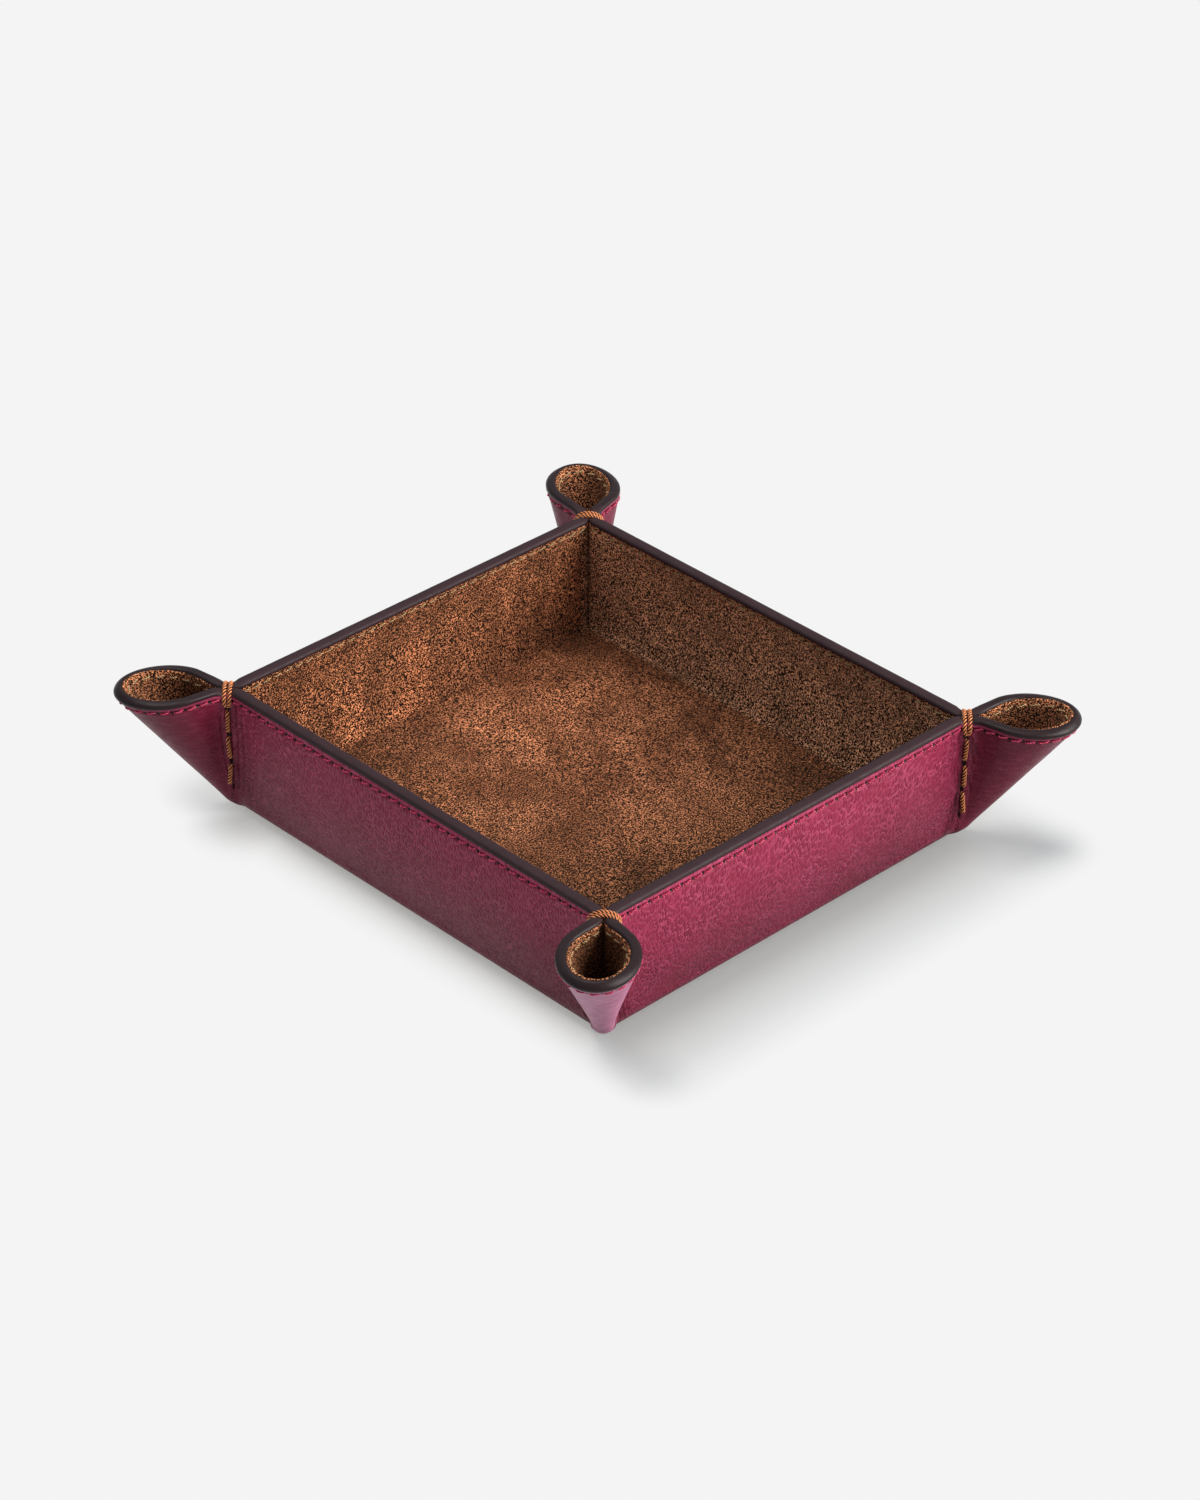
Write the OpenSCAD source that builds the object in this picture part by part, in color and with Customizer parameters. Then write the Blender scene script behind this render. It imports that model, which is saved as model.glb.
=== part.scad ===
// Tidy tray folded from one laminated sheet: leather outside, a stiff interlining and a suede lining.
// The four corners are pinched and sewn with waxed thread, and each leaves an open ear of rim.
// Millimetres, +Z up. The origin is the centre of the underside, on the table.

/* [Tray] */
// Inside length along X, from suede to suede
inner_x = 139.5; // [110:0.5:180]
// Inside length along Y, from suede to suede
inner_y = 152; // [110:0.5:190]
// Height of the cut rim above the table, under the edge paint
rim_z = 39.8; // [30:0.2:60]
// Radius inside the bend where the suede floor turns up into a wall
bend_r = 1.6; // [0.8:0.1:3]
// Rounding of the floor's own corners in plan
floor_corner_r = 1.5; // [0.5:0.1:4]

/* [Sheets] */
// Thickness of the outer leather
leather_t = 1.4; // [1:0.1:2]
// Thickness of the interlining
interlining_t = 1; // [0.6:0.1:1.6]
// Thickness of the suede lining
suede_t = 1.2; // [0.8:0.1:1.6]

/* [Edge paint] */
// Height of the painted bead on the cut rim
bead_h = 1.2; // [0.4:0.1:1.6]

/* [Ears] */
// Gap left between the two suede faces where a corner is pinched
pinch_gap = 0.3; // [0.2:0.05:0.8]
// Length of the flat contact where the thread squeezes the corner
pinch_len = 2.4; // [1.6:0.1:5]
// Radius of the outer leather where a wall turns into the pinch
lip_outer_r = 1.4; // [0.6:0.1:3]
// Radius of the outer leather where the pinch opens into an ear
throat_outer_r = 4.2; // [3:0.1:8]
// Angle between an ear's side and the corner's diagonal
ear_angle = 36; // [30:1:42]
// Straight length of an ear's side
ear_side = 6.6; // [3:0.1:12]
// Length of an ear's rounded end as a share of its half width
tip_length_share = 1.39; // [1:0.01:1.6]
// How much higher an ear's tip stands than the walls
ear_rise = 1.2; // [0:0.1:4]
// Length of the closed fold at the foot of an ear
ear_root = 0.8; // [0.4:0.1:2]
// Sideways lean of the front ear's tip, towards the right corner
front_sway = -1.7; // [-4:0.1:4]
// Sideways lean of the right ear's tip, towards the back corner
right_sway = 1; // [-4:0.1:4]
// Sideways lean of the back ear's tip, towards the left corner
back_sway = 3.6; // [-4:0.1:4]
// Sideways lean of the left ear's tip, towards the front corner
left_sway = 0.5; // [-4:0.1:4]

/* [Corner thread] */
// Diameter of the waxed corner thread
cord_d = 1.2; // [0.8:0.1:1.6]
// Diameter of the holes that are punched for it
cord_hole_d = 1.5; // [1.2:0.1:2]
// Depth of the first hole below the cut rim
first_hole_drop = 4.4; // [3:0.1:8]
// Height of the last hole above the top of the bend
last_hole_lift = 3.2; // [2:0.1:6]
// Stitches in a corner, one hole more than this
corner_stitches = 3; // [2:1:4]

/* [Rim stitching] */
// Diameter of the machine thread
thread_d = 0.5; // [0.3:0.05:0.7]
// Distance from one stitch to the next
stitch_pitch = 4; // [3:0.1:6]
// Gap between the ends of two stitches
stitch_gap = 0.7; // [0.4:0.1:1.2]
// How far a stitch stands up at its middle
stitch_rise = 0.25; // [0.1:0.05:0.4]
// Distance of the stitch line from the cut rim
stitch_inset = 1.8; // [1.2:0.1:4]

/* [Hidden] */
$fn = 36;

// Steps along each stretch of a half corner: lip, pinch, throat, side and rounded end
lip_steps = 4;
pinch_steps = 1;
throat_steps = 3;
side_steps = 1;
tip_steps = 8;
half_steps = lip_steps + pinch_steps + throat_steps + side_steps + tip_steps;
// Steps round the bend from floor to wall, and over the painted bead
bend_steps = 3;
bead_steps = 5;
// Running clearance of a thread on the sheet, and the overrun of a cut
thread_clear = 0.02;
overrun = 2;
// Shares of the corner thread's diameter: inside a hole, a stitch's rise, and the bend of a wrap
core_share = 0.9;
cord_rise_share = 0.25;
wrap_bend_share = 2;

sheet_t = suede_t + interlining_t + leather_t;
half_gap = pinch_gap / 2;
lip_turn = 45;
lip_r = lip_outer_r + sheet_t;
throat_r = throat_outer_r + sheet_t;
// Where the pinch starts and ends on the diagonal, from the walls' inner corner, and its sewn middle
pinch_start = lip_r * tan(lip_turn / 2) - half_gap;
pinch_end = pinch_start + pinch_len;
seam_u = pinch_start + pinch_len / 2;
// End of the throat and of the straight side
throat_u = pinch_end + throat_r * sin(ear_angle);
throat_v = half_gap + throat_r * (1 - cos(ear_angle));
side_u = throat_u + ear_side * cos(ear_angle);
side_v = throat_v + ear_side * sin(ear_angle);
// The rounded end is an ellipse that leaves the side without a kink
tip_turn = atan(tip_length_share * tan(ear_angle));
tip_r = side_v / cos(tip_turn);
tip_u = side_u + tip_length_share * tip_r * (1 + sin(tip_turn));
ear_len = tip_u - pinch_end;

// Corners in turn round the tray: front, right, back and left
corner_signs = [[-1, -1], [1, -1], [1, 1], [-1, 1]];
sways = [front_sway, right_sway, back_sway, left_sway];
corner_inner = [inner_x / 2, inner_y / 2];
root_half = sqrt(1 / 2);

// Half of a corner's rim path in plan, on the suede: along the diagonal, across it, and the heading
lip_path = [for (i = [0:lip_steps]) let (a = lip_turn * (i / lip_steps - 1))
    [pinch_start + lip_r * sin(a), half_gap + lip_r * (1 - cos(a)), a]];
pinch_path = [for (i = [1:pinch_steps]) [pinch_start + pinch_len * i / pinch_steps, half_gap, 0]];
throat_path = [for (i = [1:throat_steps]) let (a = ear_angle * i / throat_steps)
    [pinch_end + throat_r * sin(a), half_gap + throat_r * (1 - cos(a)), a]];
side_path = [for (i = [1:side_steps]) let (l = ear_side * i / side_steps)
    [throat_u + l * cos(ear_angle), throat_v + l * sin(ear_angle), ear_angle]];
tip_path = [for (i = [1:tip_steps]) let (b = tip_turn - (tip_turn + 90) * i / tip_steps)
    [side_u + tip_length_share * tip_r * (sin(tip_turn) - sin(b)), side_v + tip_r * (cos(b) - cos(tip_turn)),
        atan2(sin(b), tip_length_share * cos(b))]];
rim_path = concat(lip_path, pinch_path, throat_path, side_path, tip_path);

// The same half at the foot of the wall, where the ear has closed to a short fold
fold_path = [for (i = [1:half_steps - lip_steps]) let (a = 90 * i / (half_steps - lip_steps))
    [pinch_start + ear_root * sin(a), half_gap * cos(a), -a]];
foot_path = concat(lip_path, fold_path);

function unit(v) = v / norm(v);
function mix(a, b, s) = a * (1 - s) + b * s;
// How far along its ear a point lies: nought at the pinch and one at the tip
function along_ear(u) = max(0, (u - pinch_end) / ear_len);
// Heading of the path in plan as a vector, with the ear's own lean and rise
function heading(a, lean, rise) = [cos(a), sin(a) + lean * cos(a), rise * cos(a)];

// One column of the sheet: corner, side of its diagonal (-1 or 1), rim point, foot point, the outward
// normals of these two, and the floor's edge. Points run along the diagonal, across it and up
function column(k, side, i) = let (
        r = rim_path[i],
        f = foot_path[i],
        far = along_ear(r.x),
        rim = [r.x, r.y + side * sways[k] * far, rim_z + ear_rise * far],
        foot = [f.x, f.y, sheet_t + bend_r],
        up = unit(rim - foot),
        lean = far > 0 ? side * sways[k] / ear_len : 0,
        slope = far > 0 ? ear_rise / ear_len : 0,
        out_rim = unit(cross(up, heading(r.z, lean, slope))),
        out_foot = unit(cross(up, heading(f.z, 0, 0))),
        a = lip_turn * (1 - i / half_steps),
        centre = -(bend_r + floor_corner_r) / root_half,
        floor_edge = [centre + floor_corner_r * cos(a), floor_corner_r * sin(a), 0]
    ) [k, side, rim, foot, out_rim, out_foot, floor_edge];

columns = [for (k = [0:3]) each concat(
    [for (i = [0:half_steps]) column(k, -1, i)],
    [for (i = [half_steps - 1:-1:0]) column(k, 1, i)])];
count = len(columns);

// A column's direction p, and then its point p, in the tray's frame
function turned(c, p) = let (s = corner_signs[c[0]], y = c[1] * p.y)
    [root_half * (s.x * p.x - s.y * y), root_half * (s.y * p.x + s.x * y), p.z];
function placed(c, p) = let (s = corner_signs[c[0]])
    turned(c, p) + [s.x * corner_inner.x, s.y * corner_inner.y, 0];

// Points of a column at a depth below the suede's face: the rim, then the wall's foot in its own frame
function rim_at(c, depth) = placed(c, c[2] + depth * c[4]);
function foot_of(c, depth) = c[3] + depth * c[5];
// Where the wall's line, carried on down, meets the floor. Deep in a fold it stays on its own side
function bend_corner(c, depth) = let (
        foot = foot_of(c, depth),
        rim = c[2] + depth * c[4],
        meet = mix(foot, rim, (sheet_t - depth - foot.z) / (rim.z - foot.z))
    ) [meet.x, mix(foot.y, meet.y, depth / sheet_t), meet.z];
// A point of the bend from floor, s = 0, to wall, s = 1. It is a true arc where the wall stands upright
function bend_at(c, depth, s) = let (
        edge = c[6] + [0, 0, sheet_t - depth],
        e = (1 - s) * (1 - s),
        w = 2 * root_half * s * (1 - s),
        f = s * s
    ) placed(c, (e * edge + w * bend_corner(c, depth) + f * foot_of(c, depth)) / (e + w + f));

// The rings of one surface at a depth below the suede's face, from the floor up to the rim
function surface_up(depth) = concat(
    [for (l = [0:bend_steps]) [for (c = columns) bend_at(c, depth, l / bend_steps)]],
    [[for (c = columns) rim_at(c, depth)]]);
function surface_down(depth) = let (up = surface_up(depth)) [for (l = [len(up) - 1:-1:0]) up[l]];

// Triangles of the band between two rings, a below b. The diagonal is the same for both sides of a sheet
function band_out(a, b) = [for (j = [0:count - 1]) let (n = (j + 1) % count)
    each [[a * count + j, b * count + j, b * count + n], [a * count + j, b * count + n, a * count + n]]];
function band_in(a, b) = [for (f = band_out(a, b)) [f[0], f[2], f[1]]];

// One sheet of the laminate, between two depths below the suede's face
module sheet(near, far) {
    rings = concat(surface_up(near), surface_down(far));
    top = bend_steps + 1;
    last = len(rings) - 1;
    polyhedron(points = [for (r = rings) each r], faces = concat(
        [[for (j = [count - 1:-1:0]) j]],
        [for (l = [0:top - 1]) each band_in(l, l + 1)],
        band_in(top, top + 1),
        [for (l = [top + 1:last - 1]) each band_out(l + 1, l)],
        [[for (j = [0:count - 1]) last * count + j]]));
}

// Heights of the punched holes, from the top one down
first_hole_z = rim_z - first_hole_drop;
corner_stitch = (first_hole_z - sheet_t - bend_r - last_hole_lift) / corner_stitches;
hole_heights = [for (n = [0:corner_stitches]) first_hole_z - corner_stitch * n];
face_v = half_gap + sheet_t;

// Puts its children at the sewn line of corner k, with X along the diagonal and Y across it
module at_seam(k) {
    s = corner_signs[k];
    translate([s.x * corner_inner.x, s.y * corner_inner.y, 0])
        rotate([0, 0, atan2(s.y, s.x)]) translate([seam_u, 0, 0]) children();
}

module across(d, half_l) {
    rotate([90, 0, 0]) cylinder(d = d, h = 2 * half_l, center = true);
}

module punched_holes() {
    for (k = [0:3], z = hole_heights)
        at_seam(k) translate([0, 0, z]) across(cord_hole_d, face_v + overrun);
}

module outer_leather() {
    color("#8a2c52") difference() {
        sheet(suede_t + interlining_t, sheet_t);
        punched_holes();
    }
}

module interlining() {
    color("#c3b69c") difference() {
        sheet(suede_t, suede_t + interlining_t);
        punched_holes();
    }
}

module suede_lining() {
    color("#6e4526") difference() {
        sheet(0, suede_t);
        punched_holes();
    }
}

// The painted bead: it sits on the three cut edges and is domed over them
module edge_paint() {
    depths = [0, suede_t, suede_t + interlining_t, sheet_t];
    seat = [for (d = depths) [for (c = columns) rim_at(c, d)]];
    dome = [for (n = [bead_steps - 1:-1:1]) let (
            a = 180 * n / bead_steps,
            depth = sheet_t * (1 - cos(a)) / 2,
            rise = bead_h * sin(a)
        ) [for (c = columns) rim_at(c, depth) + rise * turned(c, unit(c[2] - c[3]))]];
    rings = concat(seat, dome);
    total = len(rings);
    color("#33232a") polyhedron(points = [for (r = rings) each r],
        faces = [for (l = [0:total - 1]) each band_out(l, (l + 1) % total)]);
}

// The line of the rim stitches at a depth, lifted off the face by lift
function stitch_line(depth, lift) = [for (c = columns) let (
        rim = rim_at(c, depth),
        down = unit(placed(c, foot_of(c, depth)) - rim)
    ) rim + stitch_inset * down + lift * turned(c, c[4])];
function run_lengths(p, i = 0, sum = 0) = i > len(p) ? []
    : concat([sum], run_lengths(p, i + 1, sum + norm(p[(i + 1) % len(p)] - p[i % len(p)])));

// Stitches between the sewn pinches: along each wall and round each ear, at an even pitch.
// They stop short of the pinch, at u_wall and u_ear on the diagonal.
// outward is 1 on the leather and -1 on the suede.
module rim_stitches(depth, outward, u_wall, u_ear) {
    line = stitch_line(depth, outward * (thread_d / 2 + thread_clear));
    runs = run_lengths(line);
    total = runs[count];
    along = [for (axis = [0:2]) [for (i = [0:count]) [runs[i], line[i % count][axis]]]];
    normals = [for (c = columns) outward * turned(c, c[4])];
    facing = [for (axis = [0:2]) [for (i = [0:count]) [runs[i], normals[i % count][axis]]]];
    column_of = function(k, side, i) k * (2 * half_steps + 1) + (side < 0 ? i : 2 * half_steps - i);
    runs_by_u = function(k, side) [for (i = [0:half_steps]) [rim_path[i].x, runs[column_of(k, side, i)]]];
    run_at = function(k, side, u) lookup(u, runs_by_u(k, side));
    for (k = [0:3]) {
        wrap_round = k == 3 ? total : 0;
        stitch_run(run_at(k, -1, u_ear), run_at(k, 1, u_ear), along, facing, total);
        stitch_run(run_at(k, 1, u_wall), run_at((k + 1) % 4, -1, u_wall) + wrap_round, along, facing, total);
    }
}

// One run of stitches, from and to being lengths along the stitch line
module stitch_run(from, to, along, facing, total) {
    stitches = round((to - from) / stitch_pitch);
    step = (to - from) / stitches;
    at = function(tables, s) [for (t = tables) lookup(s > total ? s - total : s, t)];
    for (n = [0:stitches - 1]) {
        start = from + step * n + stitch_gap / 2;
        end = from + step * (n + 1) - stitch_gap / 2;
        one_stitch(at(along, start), at(along, end), at(facing, (start + end) / 2));
    }
}

// One stitch: a shallow arc from a to b that stands up along out
module one_stitch(a, b, out) {
    x = unit(b - a);
    z = unit(cross(x, out));
    y = cross(z, x);
    half = norm(b - a) / 2;
    r = (half * half + stitch_rise * stitch_rise) / (2 * stitch_rise);
    spread = 2 * asin(half / r);
    mid = (a + b) / 2 - (r - stitch_rise) * y;
    multmatrix([[x.x, y.x, z.x, mid.x], [x.y, y.y, z.y, mid.y], [x.z, y.z, z.z, mid.z], [0, 0, 0, 1]])
        rotate([0, 0, 90 - spread / 2])
            rotate_extrude(angle = spread) translate([r, 0]) circle(d = thread_d);
}

// The waxed thread of one corner: two wraps over the rim, then stitches down both faces
cord_v = face_v + cord_d / 2 + thread_clear;
wrap_r = wrap_bend_share * cord_d;
wrap_u = cord_d / 2 + thread_clear;
wrap_z = rim_z + bead_h + cord_d / 2 + thread_clear;
// The thread inside a hole, and how far a corner stitch stands up at its middle
core_d = core_share * cord_d;
cord_rise = cord_rise_share * cord_d;

// Outer stitches keep clear of the wraps. Inner ones end where the suede faces come too close for thread
seam_clear = wrap_u + cord_d / 2 + thread_d / 2;
thread_room = thread_d + stitch_rise + thread_clear - half_gap;
lip_room_u = pinch_start - lip_r * sin(acos(1 - thread_room / lip_r));
throat_room_u = pinch_end + throat_r * sin(acos(1 - thread_room / throat_r));

module needle_thread() {
    color("#b03463") rim_stitches(sheet_t, 1, seam_u - seam_clear, seam_u + seam_clear);
}

module bobbin_thread() {
    color("#c9a864") rim_stitches(0, -1, lip_room_u, throat_room_u);
}

// A leg up each face, a shoulder over each edge and the top between them, u along the diagonal
module wrap(u) {
    shoulder_z = wrap_z - wrap_r;
    translate([u, 0, 0]) {
        for (side = [0, 180]) rotate([0, 0, side]) {
            translate([0, cord_v, hole_heights[0]]) cylinder(d = cord_d, h = shoulder_z - hole_heights[0]);
            translate([0, cord_v - wrap_r, shoulder_z]) rotate([90, 0, 90])
                rotate_extrude(angle = 90) translate([wrap_r, 0]) circle(d = cord_d);
        }
        translate([0, 0, wrap_z]) across(cord_d, cord_v - wrap_r);
    }
}

// One corner stitch: a shallow arc down a face between the hole at z and the next one
module corner_stitch_arc(z) {
    half = corner_stitch / 2;
    r = (half * half + cord_rise * cord_rise) / (2 * cord_rise);
    spread = 2 * asin(half / r);
    translate([0, cord_v + cord_rise - r, z - half]) rotate([90, 0, 90]) rotate([0, 0, -spread / 2])
        rotate_extrude(angle = spread) translate([r, 0]) circle(d = cord_d);
}

module corner_thread(k) {
    color("#74431f") at_seam(k) union() {
        for (z = hole_heights) translate([0, 0, z]) across(core_d, cord_v + cord_rise);
        for (n = [1:corner_stitches], side = [0, 180])
            rotate([0, 0, side]) corner_stitch_arc(hole_heights[n - 1]);
        for (u = [-wrap_u, wrap_u]) wrap(u);
    }
}

module corner_thread_front() {
    corner_thread(0);
}

module corner_thread_right() {
    corner_thread(1);
}

module corner_thread_back() {
    corner_thread(2);
}

module corner_thread_left() {
    corner_thread(3);
}

outer_leather();
interlining();
suede_lining();
edge_paint();
needle_thread();
bobbin_thread();
corner_thread_front();
corner_thread_right();
corner_thread_back();
corner_thread_left();
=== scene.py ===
"""Looks of a tidy tray: pebbled leather outside, suede inside, and its corners sewn into four open ears."""
import math

import bmesh
import bpy
import numpy as np
from mathutils import Matrix, Vector, geometry, noise


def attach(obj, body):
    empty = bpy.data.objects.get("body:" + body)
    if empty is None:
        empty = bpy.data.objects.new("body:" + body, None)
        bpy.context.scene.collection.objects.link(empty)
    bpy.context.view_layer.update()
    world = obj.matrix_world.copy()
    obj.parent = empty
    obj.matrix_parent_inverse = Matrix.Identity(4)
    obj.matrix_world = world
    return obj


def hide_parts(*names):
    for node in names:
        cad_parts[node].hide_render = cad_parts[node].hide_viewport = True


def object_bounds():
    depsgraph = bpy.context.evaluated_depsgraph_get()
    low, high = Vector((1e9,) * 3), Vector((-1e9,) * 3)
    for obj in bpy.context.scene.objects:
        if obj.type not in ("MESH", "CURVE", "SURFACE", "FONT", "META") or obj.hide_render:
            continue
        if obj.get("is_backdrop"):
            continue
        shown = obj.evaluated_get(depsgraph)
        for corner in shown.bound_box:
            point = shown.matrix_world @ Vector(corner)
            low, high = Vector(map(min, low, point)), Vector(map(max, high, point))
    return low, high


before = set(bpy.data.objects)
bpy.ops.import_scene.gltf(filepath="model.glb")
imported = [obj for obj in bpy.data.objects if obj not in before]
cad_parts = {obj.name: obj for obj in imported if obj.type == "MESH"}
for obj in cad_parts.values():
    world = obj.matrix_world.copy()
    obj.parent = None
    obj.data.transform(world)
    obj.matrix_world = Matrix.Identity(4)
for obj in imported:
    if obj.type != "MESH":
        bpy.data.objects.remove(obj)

CAD_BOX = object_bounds()
MM = 0.001

# Driving sizes in millimetres, the same as the model's own
INNER_X = 139.5
INNER_Y = 152.0
RIM_Z = 39.8
BEND_R = 1.6
FLOOR_CORNER_R = 1.5
LEATHER_T = 1.4
INTERLINING_T = 1.0
SUEDE_T = 1.2
BEAD_H = 1.2
PINCH_GAP = 0.3
PINCH_LEN = 2.4
LIP_OUTER_R = 1.4
THROAT_OUTER_R = 4.2
EAR_ANGLE = math.radians(36)
EAR_SIDE = 6.6
TIP_SHARE = 1.39
EAR_RISE = 1.2
EAR_ROOT = 0.8
SWAYS = np.array([-1.7, 1.0, 3.6, 0.5])
CORD_D = 1.2
FIRST_HOLE_DROP = 4.4
LAST_HOLE_LIFT = 3.2
CORNER_STITCHES = 3
THREAD_D = 0.5
STITCH_PITCH = 4.0
STITCH_INSET = 1.8

# Corners in turn, and the steps of a half corner: lip, pinch, throat, side and rounded end
FRONT, RIGHT, BACK, LEFT = range(4)
CORNER_NAMES = ("front", "right", "back", "left")
SIGNS = np.array([(-1, -1), (1, -1), (1, 1), (-1, 1)], float)
PINCH_AT = 4
THROAT_AT = 5
SIDE_AT = 8
TIP_AT = 9
LAST_STEP = 17
FINE_STEPS = 1701

SHEET_T = SUEDE_T + INTERLINING_T + LEATHER_T
HALF_GAP = PINCH_GAP / 2
LIP_TURN = math.radians(45)
LIP_R = LIP_OUTER_R + SHEET_T
THROAT_R = THROAT_OUTER_R + SHEET_T
PINCH_START = LIP_R * math.tan(LIP_TURN / 2) - HALF_GAP
PINCH_END = PINCH_START + PINCH_LEN
SEAM_U = PINCH_START + PINCH_LEN / 2
THROAT_U = PINCH_END + THROAT_R * math.sin(EAR_ANGLE)
THROAT_V = HALF_GAP + THROAT_R * (1 - math.cos(EAR_ANGLE))
SIDE_U = THROAT_U + EAR_SIDE * math.cos(EAR_ANGLE)
SIDE_V = THROAT_V + EAR_SIDE * math.sin(EAR_ANGLE)
TIP_TURN = math.atan(TIP_SHARE * math.tan(EAR_ANGLE))
TIP_R = SIDE_V / math.cos(TIP_TURN)
TIP_U = SIDE_U + TIP_SHARE * TIP_R * (1 + math.sin(TIP_TURN))
EAR_LEN = TIP_U - PINCH_END
FOOT_Z = SHEET_T + BEND_R
WALL_H = RIM_Z - FOOT_Z
FACE_V = HALF_GAP + SHEET_T
FIRST_HOLE_Z = RIM_Z - FIRST_HOLE_DROP
HOLE_STEP = (FIRST_HOLE_Z - FOOT_Z - LAST_HOLE_LIFT) / CORNER_STITCHES
HOLE_HEIGHTS = [FIRST_HOLE_Z - HOLE_STEP * n for n in range(CORNER_STITCHES + 1)]
ROOT_HALF = math.sqrt(0.5)


def unit(v):
    """Rows of v at length one."""
    return v / np.linalg.norm(v, axis=-1, keepdims=True)


def way_along(line):
    """How far along a line of points each of them lies."""
    return np.concatenate([[0], np.cumsum(np.linalg.norm(np.diff(line, axis=0), axis=1))])


def filled(marks, step):
    """Marks in order, with even steps of at most that size between them."""
    marks = sorted(marks)
    out = [marks[0]]
    for low, high in zip(marks, marks[1:]):
        parts = max(1, math.ceil((high - low) / step - 1e-6))
        out += [low + (high - low) * n / parts for n in range(1, parts + 1)]
    return np.array(out)


def stitch_marks(start, end, parts=1):
    """Even marks from start to end, that many to each of the whole stitches between them."""
    count = round((end - start) / STITCH_PITCH)
    return start + (end - start) / count / parts * np.arange(count * parts + 1)


def rim_path(t):
    """Half a corner's rim on the suede at steps t: along the diagonal, across it, and the heading."""
    t = np.asarray(t, float)
    a = LIP_TURN * (t / PINCH_AT - 1)
    lip = (PINCH_START + LIP_R * np.sin(a), HALF_GAP + LIP_R * (1 - np.cos(a)), a)
    pinch = (PINCH_START + PINCH_LEN * (t - PINCH_AT), HALF_GAP + 0 * t, 0 * t)
    a = EAR_ANGLE * (t - THROAT_AT) / (SIDE_AT - THROAT_AT)
    throat = (PINCH_END + THROAT_R * np.sin(a), HALF_GAP + THROAT_R * (1 - np.cos(a)), a)
    way = EAR_SIDE * (t - SIDE_AT)
    side = (THROAT_U + way * math.cos(EAR_ANGLE), THROAT_V + way * math.sin(EAR_ANGLE), EAR_ANGLE + 0 * t)
    b = TIP_TURN - (TIP_TURN + math.pi / 2) * (t - TIP_AT) / (LAST_STEP - TIP_AT)
    tip = (
        SIDE_U + TIP_SHARE * TIP_R * (math.sin(TIP_TURN) - np.sin(b)),
        SIDE_V + TIP_R * (np.cos(b) - math.cos(TIP_TURN)),
        np.arctan2(np.sin(b), TIP_SHARE * np.cos(b)),
    )
    where = [t <= PINCH_AT, t <= THROAT_AT, t <= SIDE_AT, t <= TIP_AT]
    return tuple(np.select(where, [lip[n], pinch[n], throat[n], side[n]], tip[n]) for n in range(3))


def foot_path(t):
    """The same half at the foot of the wall, where the ear has closed to a short fold."""
    u, v, heading = rim_path(np.minimum(t, PINCH_AT))
    a = math.pi / 2 * np.clip((t - PINCH_AT) / (LAST_STEP - PINCH_AT), 0, 1)
    fold = t > PINCH_AT
    return (
        np.where(fold, PINCH_START + EAR_ROOT * np.sin(a), u),
        np.where(fold, HALF_GAP * np.cos(a), v),
        np.where(fold, -a, heading),
    )


def from_diagonal(signs, u, v):
    """Across and along the tray, of u along a corner's diagonal and v across it."""
    return ROOT_HALF * (signs[0] * u - signs[1] * v), ROOT_HALF * (signs[1] * u + signs[0] * v)


class Keys:
    """Columns of the sheet in the corners' own frames: corner, side of its diagonal (-1 or 1) and step."""

    def __init__(self, corner, side, t):
        self.corner = np.asarray(corner)
        self.side = np.asarray(side, float)
        u, v, a = rim_path(t)
        self.far = np.maximum(0, (u - PINCH_END) / EAR_LEN)
        sway = SWAYS[self.corner] * self.side
        self.rim = np.column_stack([u, v + sway * self.far, RIM_Z + EAR_RISE * self.far])
        fu, fv, fa = foot_path(t)
        self.foot = np.column_stack([fu, fv, FOOT_Z + 0 * fu])
        self.up = unit(self.rim - self.foot)
        lean = np.where(self.far > 0, sway / EAR_LEN, 0)
        slope = np.where(self.far > 0, EAR_RISE / EAR_LEN, 0)
        ahead = np.column_stack([np.cos(a), np.sin(a) + lean * np.cos(a), slope * np.cos(a)])
        self.out_rim = unit(np.cross(self.up, ahead))
        self.out_foot = unit(np.cross(self.up, np.column_stack([np.cos(fa), np.sin(fa), 0 * fa])))
        a = LIP_TURN * (1 - t / LAST_STEP)
        centre = -(BEND_R + FLOOR_CORNER_R) / ROOT_HALF
        self.edge = np.column_stack([centre + FLOOR_CORNER_R * np.cos(a), FLOOR_CORNER_R * np.sin(a), 0 * a])

    def turned(self, p):
        """Directions p of the columns, in the tray's frame."""
        x, y = from_diagonal(SIGNS[self.corner].T, p[:, 0], self.side * p[:, 1])
        return np.column_stack([x, y, p[:, 2]])

    def placed(self, p):
        """Points p of the columns, in the tray's frame."""
        corner = SIGNS[self.corner] * [INNER_X / 2, INNER_Y / 2]
        return self.turned(p) + np.column_stack([corner, 0 * p[:, 2]])

    def rim_at(self, depth):
        return self.placed(self.rim + depth * self.out_rim)

    def foot_at(self, depth):
        return self.placed(self.foot + depth * self.out_foot)

    def bend_at(self, depth, s):
        """A ring of the bend from floor, s = 0, to wall, s = 1."""
        foot = self.foot + depth * self.out_foot
        rim = self.rim + depth * self.out_rim
        reach = ((SHEET_T - depth - foot[:, 2]) / (rim[:, 2] - foot[:, 2]))[:, None]
        corner = foot * (1 - reach) + rim * reach
        corner[:, 1] = foot[:, 1] + (corner[:, 1] - foot[:, 1]) * depth / SHEET_T
        edge = self.edge + [0, 0, SHEET_T - depth]
        e = (1 - s) ** 2
        w = 2 * ROOT_HALF * s * (1 - s)
        f = s * s
        return self.placed((e * edge + w * corner + f * foot) / (e + w + f))


# The walls bow outward a little between the sewn corners
WALL_BOW = 2.4
BOW_REACH = 30.0

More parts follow.
